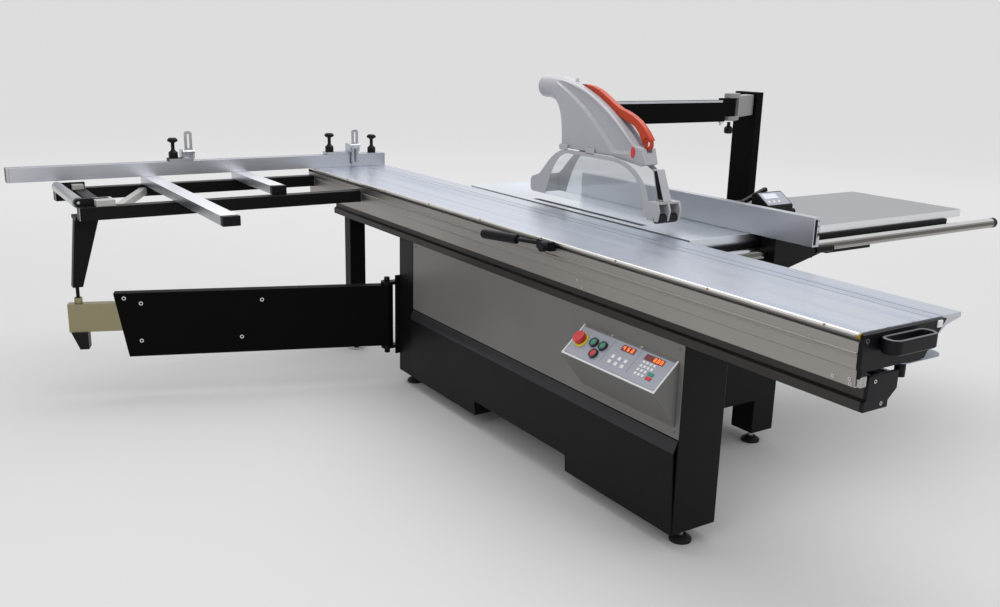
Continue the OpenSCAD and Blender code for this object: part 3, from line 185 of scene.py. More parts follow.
def noise(group, place, scale, detail, roughness=0.5):
    values = {"Vector": place, "Scale": scale, "Detail": detail, "Roughness": roughness}
    return addNode(group, "ShaderNodeTexNoise", values)["Fac"]


def makeSpeckle():
    # fine peel of sprayed and moulded skins, with a slow drift in tone over the whole piece
    group, given, leave = newGroup("speckle", {"Scale": 900.0, "Drift": 3.0}, ("Fine", "Slow"))
    place = addNode(group, "ShaderNodeTexCoord")["Object"]
    fine = noise(group, place, given["Scale"], 3.0)
    feed(group, leave, {"Fine": fine, "Slow": noise(group, place, given["Drift"], 4.0, 0.6)})
    return group


def makeDrawLines():
    # long scratches of drawn, ground or brushed metal: noise stretched by a scale on each axis
    scales = {"Across": (900.0, 3.0, 900.0), "Drift": 2.0}
    group, given, leave = newGroup("drawLines", scales, ("Lines", "Slow"))
    place = addNode(group, "ShaderNodeTexCoord")["Object"]
    across = {0: place, 1: given["Across"]}
    stretched = addNode(group, "ShaderNodeVectorMath", across, operation="MULTIPLY")["Vector"]
    lines = noise(group, stretched, 1.0, 4.0)
    feed(group, leave, {"Lines": lines, "Slow": noise(group, place, given["Drift"], 3.0)})
    return group


speckle = makeSpeckle()
drawLines = makeDrawLines()
maskSpan = (0.3, 0.7)  # the share of a mask's values that is used
skinDrift = (0.88, 1.14)  # how far the roughness drifts over a piece
metalDrift = (0.8, 1.25)
coatRoughness = 0.12
peelDepth = 0.0004
scratchDepth = 0.0002


def spread(tree, mask, low, high):
    # maps a mask to a span of values
    return addNode(tree, "ShaderNodeMapRange", {
        "Value": mask,
        "From Min": maskSpan[0],
        "From Max": maskSpan[1],
        "To Min": low,
        "To Max": high,
    })["Result"]


def tint(tree, mask, dark, light):
    # maps a mask to a span of colours
    ramp = tree.nodes.new("ShaderNodeValToRGB")
    for i, colour in enumerate((dark, light)):
        ramp.color_ramp.elements[i].position = maskSpan[i]
        ramp.color_ramp.elements[i].color = (*colour, 1.0)
    feed(tree, ramp, {"Fac": mask})
    return ramp.outputs["Color"]


def emboss(tree, mask, strength, depth):
    values = {"Height": mask, "Strength": strength, "Distance": depth}
    return addNode(tree, "ShaderNodeBump", values)["Normal"]


def scaled(colour, factor):
    return tuple(min(1.0, channel * factor) for channel in colour)


def around(colour, change):
    return scaled(colour, 1.0 - change), scaled(colour, 1.0 + change)


def skin(name, colour, roughness, grain, peel, change=0.12, coat=0.0, metal=0.0, shine=0.5):
    # painted, moulded and cast skins
    finish, tree, shader = newFinish(name)
    masks = addNode(tree, "ShaderNodeGroup", {"Scale": grain}, node_tree=speckle)
    feed(tree, shader, {
        "Base Color": tint(tree, masks["Slow"], *around(colour, change)),
        "Roughness": spread(tree, masks["Slow"], *(roughness * drift for drift in skinDrift)),
        "Metallic": metal,
        "Coat Weight": coat,
        "Coat Roughness": coatRoughness,
        "Specular IOR Level": shine,
        "Normal": emboss(tree, masks["Fine"], peel, peelDepth),
    })
    return finish


def drawnMetal(name, colour, roughness, across, contrast=0.1, scratch=0.12):
    # metal with scratches along one axis
    finish, tree, shader = newFinish(name)
    masks = addNode(tree, "ShaderNodeGroup", {"Across": across}, node_tree=drawLines)
    feed(tree, shader, {
        "Base Color": tint(tree, masks["Lines"], *around(colour, contrast)),
        "Roughness": spread(tree, masks["Slow"], *(roughness * drift for drift in metalDrift)),
        "Metallic": 1.0,
        "Normal": emboss(tree, masks["Lines"], scratch, scratchDepth),
    })
    return finish


def addReflectionBands(finish, across, dark, rough):
    # broad bands along the draw, painted reflection streaks in the colour, with roughness that follows them:
    # their darkest tone and span of roughness
    tree = finish.node_tree
    shader = tree.nodes["Principled BSDF"]
    lines = addNode(tree, "ShaderNodeGroup", {"Across": across}, node_tree=drawLines)["Lines"]
    blend = tree.nodes.new("ShaderNodeMix")
    blend.data_type = "RGBA"
    blend.blend_type = "MULTIPLY"
    factor, first, second = (socket for socket in blend.inputs if socket.enabled)
    factor.default_value = 1.0
    tree.links.new(shader.inputs["Base Color"].links[0].from_socket, first)
    tree.links.new(tint(tree, lines, dark, (1.0, 1.0, 1.0)), second)
    mixed = next(socket for socket in blend.outputs if socket.enabled)
    feed(tree, shader, {"Base Color": mixed, "Roughness": spread(tree, lines, *rough)})


def glow(name, colour, strength):
    finish, tree, shader = newFinish(name)
    mask = addNode(tree, "ShaderNodeGroup", node_tree=speckle)["Slow"]
    shade = tint(tree, mask, scaled(colour, 0.9), colour)
    lit = {"Base Color": shade, "Emission Color": shade, "Emission Strength": strength, "Roughness": 0.3}
    feed(tree, shader, lit)
    return finish


def clearSheet(name, colour):
    finish, tree, shader = newFinish(name)
    mask = addNode(tree, "ShaderNodeGroup", node_tree=speckle)["Slow"]
    shade = tint(tree, mask, scaled(colour, 0.98), colour)
    feed(tree, shader, {"Base Color": shade, "Roughness": 0.04, "Transmission Weight": 0.9, "IOR": 1.4})
    return finish


alongX = (4.0, 1100.0, 1100.0)
alongY = (1100.0, 4.0, 1100.0)
ringsX = (60.0, 700.0, 700.0)

finishes = {
    "black_powder_coat": skin("black powder coat", (0.0045, 0.0045, 0.005), 0.40, 1400.0, 0.3, 0.15,
                              shine=0.12),
    "grey_paint": skin("warm grey paint", (0.138, 0.136, 0.129), 0.36, 1200.0, 0.18, 0.06, shine=0.35),
    "silver_face": skin("silver membrane", (0.325, 0.34, 0.39), 0.40, 2200.0, 0.05, 0.03, 0.0, 0.2),
    "black_rubber": skin("black rubber", (0.009, 0.009, 0.009), 0.62, 700.0, 0.2, shine=0.25),
    "dark_aluminium": drawnMetal("dull beam aluminium", (0.060, 0.056, 0.054), 0.5, alongY),
    "ground_steel": drawnMetal("ground steel", (0.52, 0.53, 0.55), 0.26, ringsX),
    "chrome_rail": drawnMetal("chromed rail", (0.34, 0.33, 0.31), 0.16, alongX, 0.04, 0.03),
    "cast_iron_top": drawnMetal("ground cast iron", (0.67, 0.71, 0.77), 0.34, alongY, 0.10),
    "sheet_grey": skin("light grey sheet", (0.29, 0.30, 0.315), 0.34, 1000.0, 0.1, 0.05, 0.0, 0.5),
    "anodised_aluminium": drawnMetal("anodised aluminium", (0.55, 0.565, 0.61), 0.34, alongX, 0.05, 0.03),
    "black_plastic": skin("black moulding", (0.005, 0.005, 0.007), 0.40, 1600.0, 0.3, shine=0.16),
    "cast_grey": skin("grey casting", (0.36, 0.36, 0.35), 0.48, 500.0, 0.35, 0.1),
    "zinc_plate": drawnMetal("zinc plate", (0.30, 0.275, 0.165), 0.38, alongX, 0.08),
    "guard_plastic": skin("guard moulding", (0.36, 0.36, 0.39), 0.32, 1800.0, 0.08, 0.03, 0.15),
    "clear_shield": skin("shield moulding", (0.37, 0.375, 0.395), 0.32, 1800.0, 0.08, 0.03, 0.15),
    "orange_plastic": skin("orange moulding", (0.43, 0.038, 0.008), 0.30, 1500.0, 0.12, 0.08, shine=0.3),
    "red_plastic": skin("red cap", (0.52, 0.02, 0.025), 0.26, 1500.0, 0.05, 0.06, 0.3),
    "green_plastic": skin("green cap", (0.02, 0.22, 0.14), 0.26, 1500.0, 0.05, 0.06, 0.3),
    "blue_sheet": skin("zinc blue sheet", (0.26, 0.31, 0.38), 0.36, 900.0, 0.1, 0.08, 0.0, 0.6),
}
for node, slot in slotOf.items():
    nodes[node].data.materials.clear()
    nodes[node].data.materials.append(finishes[slot])
print("finishes set on the frame")

# extra finishes for single pieces
anodised = finishes["anodised_aluminium"]
blackMoulding = finishes["black_plastic"]
guardGrey = finishes["guard_plastic"]
shieldGrey = finishes["clear_shield"]
# the slide top carries painted reflections: broad light and dark streaks along its length
slideTopPaintedReflections = drawnMetal("planed slide top with painted reflection bands", (0.70, 0.735, 0.82), 0.33, alongY, 0.03, 0.012)
addReflectionBands(slideTopPaintedReflections, (17.0, 0.45, 17.0), (0.56, 0.585, 0.63), (0.42, 0.24))
brightBead = drawnMetal("bright edge bead", (0.78, 0.76, 0.74), 0.27, alongY, 0.03, 0.01)
# painted reflections on the round rail: a bright stripe on its upper side and a dark stripe on its front
railPaintedHighlight = drawnMetal("rail painted highlight", (0.80, 0.80, 0.81), 0.18, alongX, 0.03, 0.02)
railPaintedDarkReflection = drawnMetal("rail painted dark reflection", (0.14, 0.135, 0.125), 0.20, alongX, 0.04, 0.03)
# painted highlight: a brighter aluminium for the right table's near-facing front faces
tableFrontPaintedHighlight = drawnMetal("table front painted highlight", (0.80, 0.81, 0.83), 0.36, alongX, 0.04, 0.02)
paleDisplay = skin("pale display", (0.64, 0.66, 0.76), 0.22, 1500.0, 0.02, 0.02, 0.3)
# painted highlight: a lighter aluminium for the upward faces of the support bars
barTopPaintedHighlight = drawnMetal("support bar top painted highlight", (0.80, 0.81, 0.86), 0.40, alongY, 0.04, 0.02)
deepBlack = skin("deep black paint", (0.0017, 0.0016, 0.0019), 0.45, 1400.0, 0.3, 0.15, shine=0.05)
# painted sheen: a lighter black for the lower panel's upward-sloping band
bandPaintedSheen = skin("lower panel band painted sheen", (0.022, 0.022, 0.026), 0.40, 1400.0, 0.3, 0.1, shine=0.25)
linkGrey = skin("link casting", (0.23, 0.23, 0.228), 0.45, 500.0, 0.3, 0.08)
slideSide = drawnMetal("champagne slide side", (0.345, 0.325, 0.305), 0.42, alongY, 0.05, 0.03)
cleanSteel = drawnMetal("screw steel", (0.62, 0.62, 0.62), 0.25, ringsX, 0.05, 0.03)
brassEnd = drawnMetal("brass slot end", (0.30, 0.20, 0.05), 0.4, ringsX, 0.1, 0.05)
paleEdge = skin("white pod rim", (0.62, 0.63, 0.65), 0.4, 1800.0, 0.08, 0.03)
bezelBlack = skin("button bezel", (0.02, 0.02, 0.022), 0.3, 1500.0, 0.05, 0.05, 0.3)
yellowRing = skin("yellow ring", (0.72, 0.58, 0.02), 0.4, 1500.0, 0.08, 0.04)
keyWhite = skin("white keys", (0.70, 0.70, 0.73), 0.45, 1500.0, 0.05, 0.02)
darkWindow = skin("dark red window", (0.16, 0.012, 0.015), 0.18, 1500.0, 0.02, 0.04, 0.4)
# a lighter grey for the push handle's upward-facing upper rim
handleUpperRim = skin("lighter handle upper rim", (0.11, 0.11, 0.13), 0.35, 1500.0, 0.1, 0.1)
printLine = skin("printed line", (0.16, 0.17, 0.20), 0.5, 1500.0, 0.05, 0.03)
readoutFace = skin("silver readout face", (0.38, 0.40, 0.45), 0.3, 1500.0, 0.03, 0.03, 0.2, 0.4)
displayGlow = glow("lit digits", (1.0, 0.16, 0.01), 2.2)
shieldSheet = clearSheet("clear shield sheet", (0.88, 0.90, 0.92))


# makers of meshes
flatAngle = math.radians(1.0)
weldReach = 0.02 * mm
evenWeight = 60
past = 5.0  # how far a cutter reaches past what it cuts, in mm


def bake(piece):
    # turns a piece's modifiers into plain mesh
    graph = bpy.context.evaluated_depsgraph_get()
    solid = bpy.data.meshes.new_from_object(piece.evaluated_get(graph))
    piece.modifiers.clear()
    piece.data = solid


def soften(piece, edge=0.0, segments=2, crease=32.0):
    # rounds the edges and evens out the shading of the flats
    if edge > 0.0:
        bevel = piece.modifiers.new("softEdge", "BEVEL")
        bevel.width = edge * mm
        bevel.segments = segments
        bevel.limit_method = "ANGLE"
        bevel.angle_limit = math.radians(crease)
        bevel.use_clamp_overlap = False
        bevel.miter_outer = "MITER_ARC"
        bake(piece)
    piece.data.shade_smooth()
    piece.data.set_sharp_from_angle(angle=math.radians(crease))
    even = piece.modifiers.new("evenFlats", "WEIGHTED_NORMAL")
    even.keep_sharp = True
    even.weight = evenWeight
    bake(piece)


def toPiece(name, shape, finish=None, asPacked=False):
    if not asPacked:  # a copied solid already points the right way
        bmesh.ops.recalc_face_normals(shape, faces=shape.faces)
    mesh = bpy.data.meshes.new(name)
    shape.to_mesh(mesh)
    shape.free()
    if finish:
        mesh.materials.append(finish)
    piece = bpy.data.objects.new(name, mesh)
    bpy.context.scene.collection.objects.link(piece)
    return piece


def settle(piece, node, stands=False, slot=None):
    # the piece moves with the node's body and, where it stands for the node, takes its place
    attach(piece, bodyOf[node])
    if stands:
        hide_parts(node)
    slot or slotOf[node]
    return piece


def make(name, shape, finish, node, edge=0.0, segments=2, crease=32.0, stands=False, slot=None):
    # a piece from a shape, with soft edges, on the body of a node
    piece = toPiece(name, shape, finish)
    soften(piece, edge, segments, crease)
    return settle(piece, node, stands, slot)


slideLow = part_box("sliding_table")[0]


def at(x, y, z):
    # machine millimetres from the sliding table's near left corner, as a place in the frame
    return Vector((slideLow[0] + x * mm, slideLow[1] + y * mm, z * mm))


def machine(point):
    # a place in the frame, in machine millimetres
    return Vector(((point[0] - slideLow[0]) / mm, (point[1] - slideLow[1]) / mm, point[2] / mm))


turnTo = {
    "x": Matrix.Rotation(quarter, 4, "Y"),
    "-x": Matrix.Rotation(-quarter, 4, "Y"),
    "y": Matrix.Rotation(-quarter, 4, "X"),
    "-y": Matrix.Rotation(quarter, 4, "X"),
    "z": Matrix.Identity(4),
}


def stand(x, y, z, axis):
    # a place in machine millimetres whose own z axis points along an axis of the machine
    return Matrix.Translation(at(x, y, z)) @ turnTo[axis]


def repaint(piece, finish, chosen):
    # the faces that the test picks, by their middle in machine mm and their normal, get another finish
    piece.data.materials.append(finish)
    last = len(piece.data.materials) - 1
    for face in piece.data.polygons:
        if chosen(machine(face.center), face.normal):
            face.material_index = last


def curve(points, steps):
    # a cubic curve with two control points, as pairs
    first, pull, draw, last = (Vector(point) for point in points)
    line = []
    for step in range(steps + 1):
        t = step / steps
        s = 1.0 - t
        line.append(s ** 3 * first + 3 * s * s * t * pull + 3 * s * t * t * draw + t ** 3 * last)
    return line


def join(*lines):
    # one outline without doubled points
    points = []
    for line in lines:
        for point in line:
            point = Vector(point)
            if not points or (point - points[-1]).length > 0.01:
                points.append(point)
    return points


def bridge(shape, rings, capped=True):
    # faces between each ring of points and the next, and over the first and the last
    for low, high in zip(rings, rings[1:]):
        for i in range(len(low)):
            j = (i + 1) % len(low)
            shape.faces.new((low[i], low[j], high[j], high[i]))
    if capped:
        shape.faces.new(rings[0])
        shape.faces.new(list(reversed(rings[-1])))
    return shape


def slab(outline, left, right, place=(0.0, 0.0), rightOutline=None):
    # a plate across the machine: an outline of y and z between two places in x, or two of like points
    shape = bmesh.new()
    rings = []
    for x, points in ((left, outline), (right, rightOutline or outline)):
        rings.append([shape.verts.new(at(x, place[0] + y, place[1] + z)) for y, z in points])
    return bridge(shape, rings)


def addBlock(shape, low, high, place=None):
    # a box between two corners in metres, which a matrix may turn and place
    size = Vector(high) - Vector(low)
    middle = (Vector(high) + Vector(low)) / 2
    made = bmesh.ops.create_cube(shape, size=1.0)
    fit = Matrix.Translation(middle) @ Matrix.Diagonal((*size, 1.0))
    bmesh.ops.transform(shape, matrix=(place or Matrix.Identity(4)) @ fit, verts=made["verts"])
    return shape


def block(low, high, shape=None):
    # a box between two corners in machine mm, in a shape of its own where none is given
    return addBlock(bmesh.new() if shape is None else shape, at(*low), at(*high))


def lathe(shape, profile, place, segments=48):
    # turns pairs of radius and height in mm about the z axis of a matrix
    rings = []
    for radius, height in profile:
        if radius < 0.001:
            rings.append([shape.verts.new(place @ Vector((0.0, 0.0, height * mm)))])
            continue
        ring = []
        for i in range(segments):
            angle = 2 * math.pi * i / segments
            point = Vector((radius * mm * math.cos(angle), radius * mm * math.sin(angle), height * mm))
            ring.append(shape.verts.new(place @ point))
        rings.append(ring)
    for low, high in zip(rings, rings[1:]):
        for i in range(segments):
            j = (i + 1) % segments
            corners = [low[i % len(low)], low[j % len(low)], high[j % len(high)], high[i % len(high)]]
            unique = list(dict.fromkeys(corners))
            if len(unique) > 2:
                shape.faces.new(unique)
    return shape


def turned(profile, place, segments):
    return lathe(bmesh.new(), profile, place, segments)


def carve(piece, cutter):
    # takes a closed shape out of a piece
    tool = toPiece("cutter", cutter)
    cut = piece.modifiers.new("cut", "BOOLEAN")
    cut.operation = "DIFFERENCE"
    cut.solver = "EXACT"
    cut.object = tool
    bake(piece)
    bpy.data.objects.remove(tool)


# edge radius in mm of each piece that shows its own solid
edgeOf = {
    "base_cabinet": 3.0, "side_panel": 0.8, "lower_panel": 2.0, "control_box": 2.5, "leveling_feet": 0.8,
    "slide_beam": 0.8, "guide_rods": 0.5, "beam_end_caps": 1.2, "beam_post": 2.0, "main_table": 1.5,
    "right_table": 1.2, "rail_supports": 0.8, "rip_rail": 1.0, "guard_post": 1.5, "arm_hinge": 1.0,
    "guard_boom": 1.5, "table_end_caps": 1.2, "bearing_blocks": 0.8, "lock_plate": 0.6,
    "lock_plunger": 1.0, "side_grip": 1.0, "grip_knob": 1.5, "outrigger_frame": 2.0, "support_bars": 0.8,
    "corner_casting": 1.5, "end_roller": 1.0, "outrigger_leg": 1.5, "crosscut_fence": 0.4,
    "fence_extension": 0.6, "left_stop": 0.8, "left_flip": 1.0, "right_stop": 0.8, "right_flip": 1.0,
    "swing_arm": 1.5, "arm_tube": 1.0, "rip_carrier": 1.0, "rip_fence": 0.6, "rip_lever": 1.5,
    "rip_readout": 1.5, "guard_handle": 2.0, "e_stop": 1.5, "start_button": 1.0,
    "second_start_button": 1.0, "stop_button": 1.0, "control_plate": 0.5, "sliding_table": 0.0,
    "guard_rollers": 1.0,
}
openFaced = ("main_table", "guard_boom")  # pieces with faces that run around an opening


def softCopy(node, edge):
    # the node's own solid with its edges rounded
    shape = bmesh.new()
    shape.from_mesh(nodes[node].data)
    bmesh.ops.remove_doubles(shape, verts=shape.verts, dist=weldReach)
    bmesh.ops.dissolve_limit(shape, angle_limit=flatAngle, verts=shape.verts, edges=shape.edges)
    if node in openFaced:
        bmesh.ops.triangulate(shape, faces=shape.faces)
    piece = toPiece(node + "_skin", shape, finishes[slotOf[node]], asPacked=True)
    soften(piece, edge)
    return settle(piece, node, True)


skins = {node: softCopy(node, edge) for node, edge in edgeOf.items()}
print("edges rounded on", len(skins), "pieces")


# guard hood: a moulded housing that ends in a round hose port
bladeLow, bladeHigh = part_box("saw_blade")
bladeX = ((bladeLow[0] + bladeHigh[0]) / 2 - slideLow[0]) / mm
bladeY = ((bladeLow[1] + bladeHigh[1]) / 2 - slideLow[1]) / mm
hoodSet = {
    "width": 86.0,
    "base": 1055.0,
    "rear": ((99, 0), (99, 95), (112, 171), (200, 175)),
    "crest": ((200, 261), (50, 257), (-80, 220), (-216, 132)),
    "brow": ((-216, 132), (-260, 105), (-300, 70), (-338, 45)),
    "nose": ((-385, 37), (-408, -15), (-380, -22), (-200, 0)),
    "hollowRear": ((94, -30), (94, 92), (104, 182), (188, 183)),
    "hollowTop": (188, 237),
    "hollowDrop": 24.0,
    "hollowFront": ((-325, 24), (-376, 18), (-388, -40)),
    "wall": 16.0,
    "channelWidth": 26.0,
    "channelDepth": 18.0,
    "channelFrom": 0.0,
    "channelTop": ((-420, 20), (-420, 300), (14, 300), (14, 210)),
    "crease": ((-226, 24), (-150, 90), (-30, 190), (160, 251)),
    "creaseShift": (11.0, -17.0),  # how far the band's lower edge slopes out
    "creaseFade": 0.7,  # and how much less of it at the tail
    "creaseSteps": 20,
    "ledge": (((-322, 28), (-252, 20)), ((-330, 12), (-256, 5))),  # the band's foot, inside and outside
    "bandRim": 9.0,
    "bandDepth": 9.0,
    "bandPast": 3.0,  # how far its cutter reaches out of the hood
    "bandEnd": 158.0,
    "noseFrom": -290.0,
    "noseTip": -408.0,
    "noseDraw": 0.2,  # how much shorter the nose is drawn
    "nosePinch": 0.5,  # how much narrower its outer half is at the tip
    "tailRound": 40.0,  # edge radius at the tail, in mm
    "frontRound": 6.0,
    "roundSpan": (-60.0, 140.0),  # where the radius grows, along the machine
    "rimRound": 3.0,
    "rimHeight": 2.0,
    "roundSteps": 10,
    "portRadius": 42.0,
    "portBore": 38.0,
    "portMiddle": 218.0,
    "portSpan": (150.0, 245.0),
}


def onHood(y, z, axis="z"):
    return stand(bladeX, bladeY + y, hoodSet["base"] + z, axis)


def dropped(points, amount):
    return [(y, z - amount) for y, z in points]


def inward(outline, tail):
    # inward direction at each point of the outline; at the tail only the curve's own side counts
    count = len(outline)
    turns = []
    for i in range(count):
        steps = [outline[i] - outline[i - 1], outline[(i + 1) % count] - outline[i]]
        if i == tail:
            steps = steps[:1]
        if i == tail + 1:
            steps = steps[1:]
        sides = [Vector((-step[1], step[0])).normalized() for step in steps]
        middle = sum(sides, Vector((0.0, 0.0))).normalized()
        turns.append(middle / max(0.5, middle.dot(sides[0])))
    return turns


def edgeRadius(point, setup):
    # the edges are rounded most at the tail, and least at the nose and the lower rim
    if point[1] < setup["rimHeight"]:
        return setup["rimRound"]
    start, end = setup["roundSpan"]
    share = min(1.0, max(0.0, (point[0] - start) / (end - start)))
    return setup["frontRound"] + (setup["tailRound"] - setup["frontRound"]) * share ** 1.5


def mouldedSlab(outline, tail, left, right, place, setup):
    # a plate across the machine whose edges are round, ring by ring from one side to the other
    shape = bmesh.new()
    turns = inward(outline, tail)
    steps = setup["roundSteps"]
    angles = [quarter * (steps - k) / steps for k in range(steps + 1)]
    rings = []
    for side, start, order in ((1.0, left, angles), (-1.0, right, reversed(angles))):
        for angle in order:
            ring = []
            for point, turn in zip(outline, turns):
                radius = edgeRadius(point, setup)
                moved = point + turn * radius * (1.0 - math.cos(angle))
                x = start + side * radius * (1.0 - math.sin(angle))
                ring.append(shape.verts.new(at(x, place[0] + moved[0], place[1] + moved[1])))
            rings.append(ring)
    return bridge(shape, rings)


def drawNose(piece, setup):
    # the nose is shorter and narrower towards its tip, outside the lever's channel
    middle = at(bladeX, bladeY, 0.0)
    channel = setup["channelWidth"] / 2 * mm
    start = setup["noseFrom"] * mm
    for vert in piece.data.vertices:
        along = vert.co.y - middle.y - start
        if along < 0.0:
            share = along / (setup["noseTip"] * mm - start)
            across = vert.co.x - middle.x
            beyond = abs(across) - channel
            if beyond > 0.0:
                vert.co.x -= math.copysign(beyond * share * setup["nosePinch"], across)
            vert.co.y -= along * setup["noseDraw"]


def makeHood(setup):
    place = (bladeY, setup["base"])
    left = bladeX - setup["width"] / 2
    right = left + setup["width"]
    crest, brow = setup["crest"], setup["brow"]
    rear = curve(setup["rear"], 18)
    outline = join(rear, curve(crest, 26), curve(brow, 8), setup["nose"])
    shape = mouldedSlab(outline, len(rear) - 1, left, right, place, setup)
    hood = toPiece("guard_hood_skin", shape, guardGrey)
    top = setup["hollowTop"]
    ceiling = [p for p in curve(dropped(crest, setup["hollowDrop"]), 14) if p[0] < top[0]]
    hollow = join(curve(setup["hollowRear"], 10), [top], ceiling, setup["hollowFront"])
    carve(hood, slab(hollow, left + setup["wall"], right - setup["wall"], place))
    deep = setup["channelDepth"]
    floor = [p for p in curve(dropped(crest, deep), 26) if p[0] < setup["channelFrom"]]
    channel = join(floor, curve(dropped(brow, deep), 6), setup["channelTop"])
    half = setup["channelWidth"] / 2
    carve(hood, slab(channel, bladeX - half, bladeX + half, place))
    rim = setup["bandRim"]
    upper = [p for p in curve(dropped(crest, rim), 26) if p[0] < setup["bandEnd"]]
    front = join(upper, curve(dropped(brow, rim), 6))
    steps = setup["creaseSteps"]
    shift, fade = Vector(setup["creaseShift"]), setup["creaseFade"]
    crease = curve(setup["crease"], steps)
    sloped = [point + shift * (1.0 - fade * i / steps) for i, point in enumerate(crease)]
    footIn, footOut = setup["ledge"]
    deepBand = front + list(footIn) + crease
    wideBand = front + list(footOut) + sloped
    depth, out = setup["bandDepth"], setup["bandPast"]
    carve(hood, slab(wideBand, left - out, left + depth, place, deepBand))
    carve(hood, slab(deepBand, right - depth, right + out, place, wideBand))
    drawNose(hood, setup)
    soften(hood, crease=15.0)
    settle(hood, "guard_hood", True)


def makePort(setup):
    outer, bore = setup["portRadius"], setup["portBore"]
    start, end = setup["portSpan"]
    profile = [(bore, start), (outer - 1, start), (outer, start + 20), (outer, end - 2), (outer - 2, end),
               (bore + 1, end), (bore, end - 1), (bore, start)]
    shape = turned(profile, onHood(0.0, setup["portMiddle"], "y"), 64)
    make("hose_port", shape, guardGrey, "guard_hood")


makeHood(hoodSet)
makePort(hoodSet)

# lever of the guard: its eye is thinner than its arm
leverSet = {"eye": (-363.0, 52.0), "radius": 21.6, "halfEye": 5.0, "halfArm": 13.0}


def thinEye(lever, setup):
    radius = setup["radius"]
    for side in (-1.0, 1.0):
        inner, outer = setup["halfEye"] * side, setup["halfArm"] * side
        profile = [(0, inner), (radius, inner), (radius, outer), (0, outer)]
        carve(lever, turned(profile, onHood(*setup["eye"], "x"), 40))
    soften(lever)


thinEye(skins["guard_handle"], leverSet)

# small parts of the hood: oval buttons, guides for the shield's tabs, lever pin and crest stud
hoodBits = {
    "button": {"place": (-336, 22), "size": (12.0, 19.0), "proud": 3.0},
    "guides": {"from": ((-125, 40), (35, 40)), "height": 14.0, "thick": 5.6},
    "pin": {"place": (-10, 224), "radius": 4.0, "length": 34.0},
    "stud": {"place": (52, 244), "radius": 5.0, "head": 8.0},
}


def makeHoodBits(setup, bits):
    left = bladeX - setup["width"] / 2
    right = left + setup["width"]
    guides, pin, stud, button = (bits[name] for name in ("guides", "pin", "stud", "button"))
    shape = bmesh.new()
    top = setup["base"] + guides["height"]
    for y, length in guides["from"]:
        near, far = bladeY + y, bladeY + y + length
        for low, high in ((left - guides["thick"], left + 1.0), (right - 1.0, right + guides["thick"])):
            block((low, near, setup["base"]), (high, far, top), shape)
    make("tab_guides", shape, guardGrey, "guard_hood", 1.0)
    half, radius = pin["length"] / 2, pin["radius"]
    profile = [(0, -half), (radius - 0.5, -half), (radius, 0.5 - half), (radius, half - 0.5),
               (radius - 0.5, half), (0, half)]
    shape = turned(profile, onHood(*pin["place"], "x"), 24)
    radius, head = stud["radius"], stud["head"]
    profile = [(0, -6), (radius, -6), (radius, 6), (head, 6), (head, 10), (radius, 11), (0, 11)]
    lathe(shape, profile, onHood(*stud["place"]), 24)
    make("hood_pins", shape, cleanSteel, "guard_hood", slot="ground_steel")
    shape = bmesh.new()
    y, z = button["place"]
    wide, tall = button["size"]
    proud = button["proud"]
    profile = [(0, -2), (1, -2), (1, proud * 0.6), (0.85, proud), (0, proud * 1.15)]
    for x, axis in ((left, "-x"), (right, "x")):
        place = stand(x, bladeY + y, setup["base"] + z, axis)
        lathe(shape, profile, place @ Matrix.Diagonal((tall, wide, 1.0, 1.0)), 40)
    ovals = toPiece("hood_buttons", shape, finishes["red_plastic"])
    drawNose(ovals, setup)
    soften(ovals, crease=50.0)
    settle(ovals, "guard_hood", slot="red_plastic")


makeHoodBits(hoodSet, hoodBits)
print("guard hood made")

# lifting shield: two arched side frames with clear sheets, joined by a front foot and a rear foot
shieldSet = {
    "half": 52.0,
    "thick": 3.0,
    "sheet": 1.2,
    "base": 857.0,
    "top": 1052.0,
    "front": ((-484, 4), (-492, 40), (-480, 69)),
    "archFront": ((-434, 69), (-415, 143), (-340, 195), (-220, 195)),
    "archRear": ((40, 195), (130, 183), (170, 108), (211, 83)),
    "rear": ((252, 70), (260, 63), (262, 53), (262, 27), (258, 16), (247, 12), (200, 12), (-434, 12),
             (-434, 4)),
    "windowLow": ((-412, 11),),
    "windowFront": ((-418, 40), (-405, 110), (-345, 181), (-220, 181)),
    "windowRear": ((30, 181), (100, 172), (130, 100), (163, 11)),
    "tabs": ((-130, 50), (30, 50)),
    "tabSpan": (-4.0, 17.0),  # below and above the frame's top
    "notch": (1546.0, 1604.0, 1041.5),  # room for the boom in the right frame: y from, y to, floor
    "cheek": 8.0,
    "cheekInset": 0.2,
    "footLap": 0.5,  # how far the rear foot runs into the side frames
    "linkWidth": 34.0,
    "link": ((-478, 69), (-436, 69), (-410, 171), (-432, 173)),
    "insert": ((-471, 74), (-445, 74), (-417, 166), (-432, 168)),
    "insertSpan": (-0.6, 2.0),  # from the link's left side
    "rearFoot": ((202, 12), (247, 12), (258, 16), (262, 27), (262, 53), (260, 63), (252, 70), (214, 82)),
    "frontFoot": ((-484, 4), (-434, 4), (-434, 69), (-480, 69), (-492, 40)),
    "roof": (((-480, 61), (-434.5, 68.5)), ((-440, 24), (-434.5, 62))),  # top and back of the front foot
    "roofInset": 1.0,
}


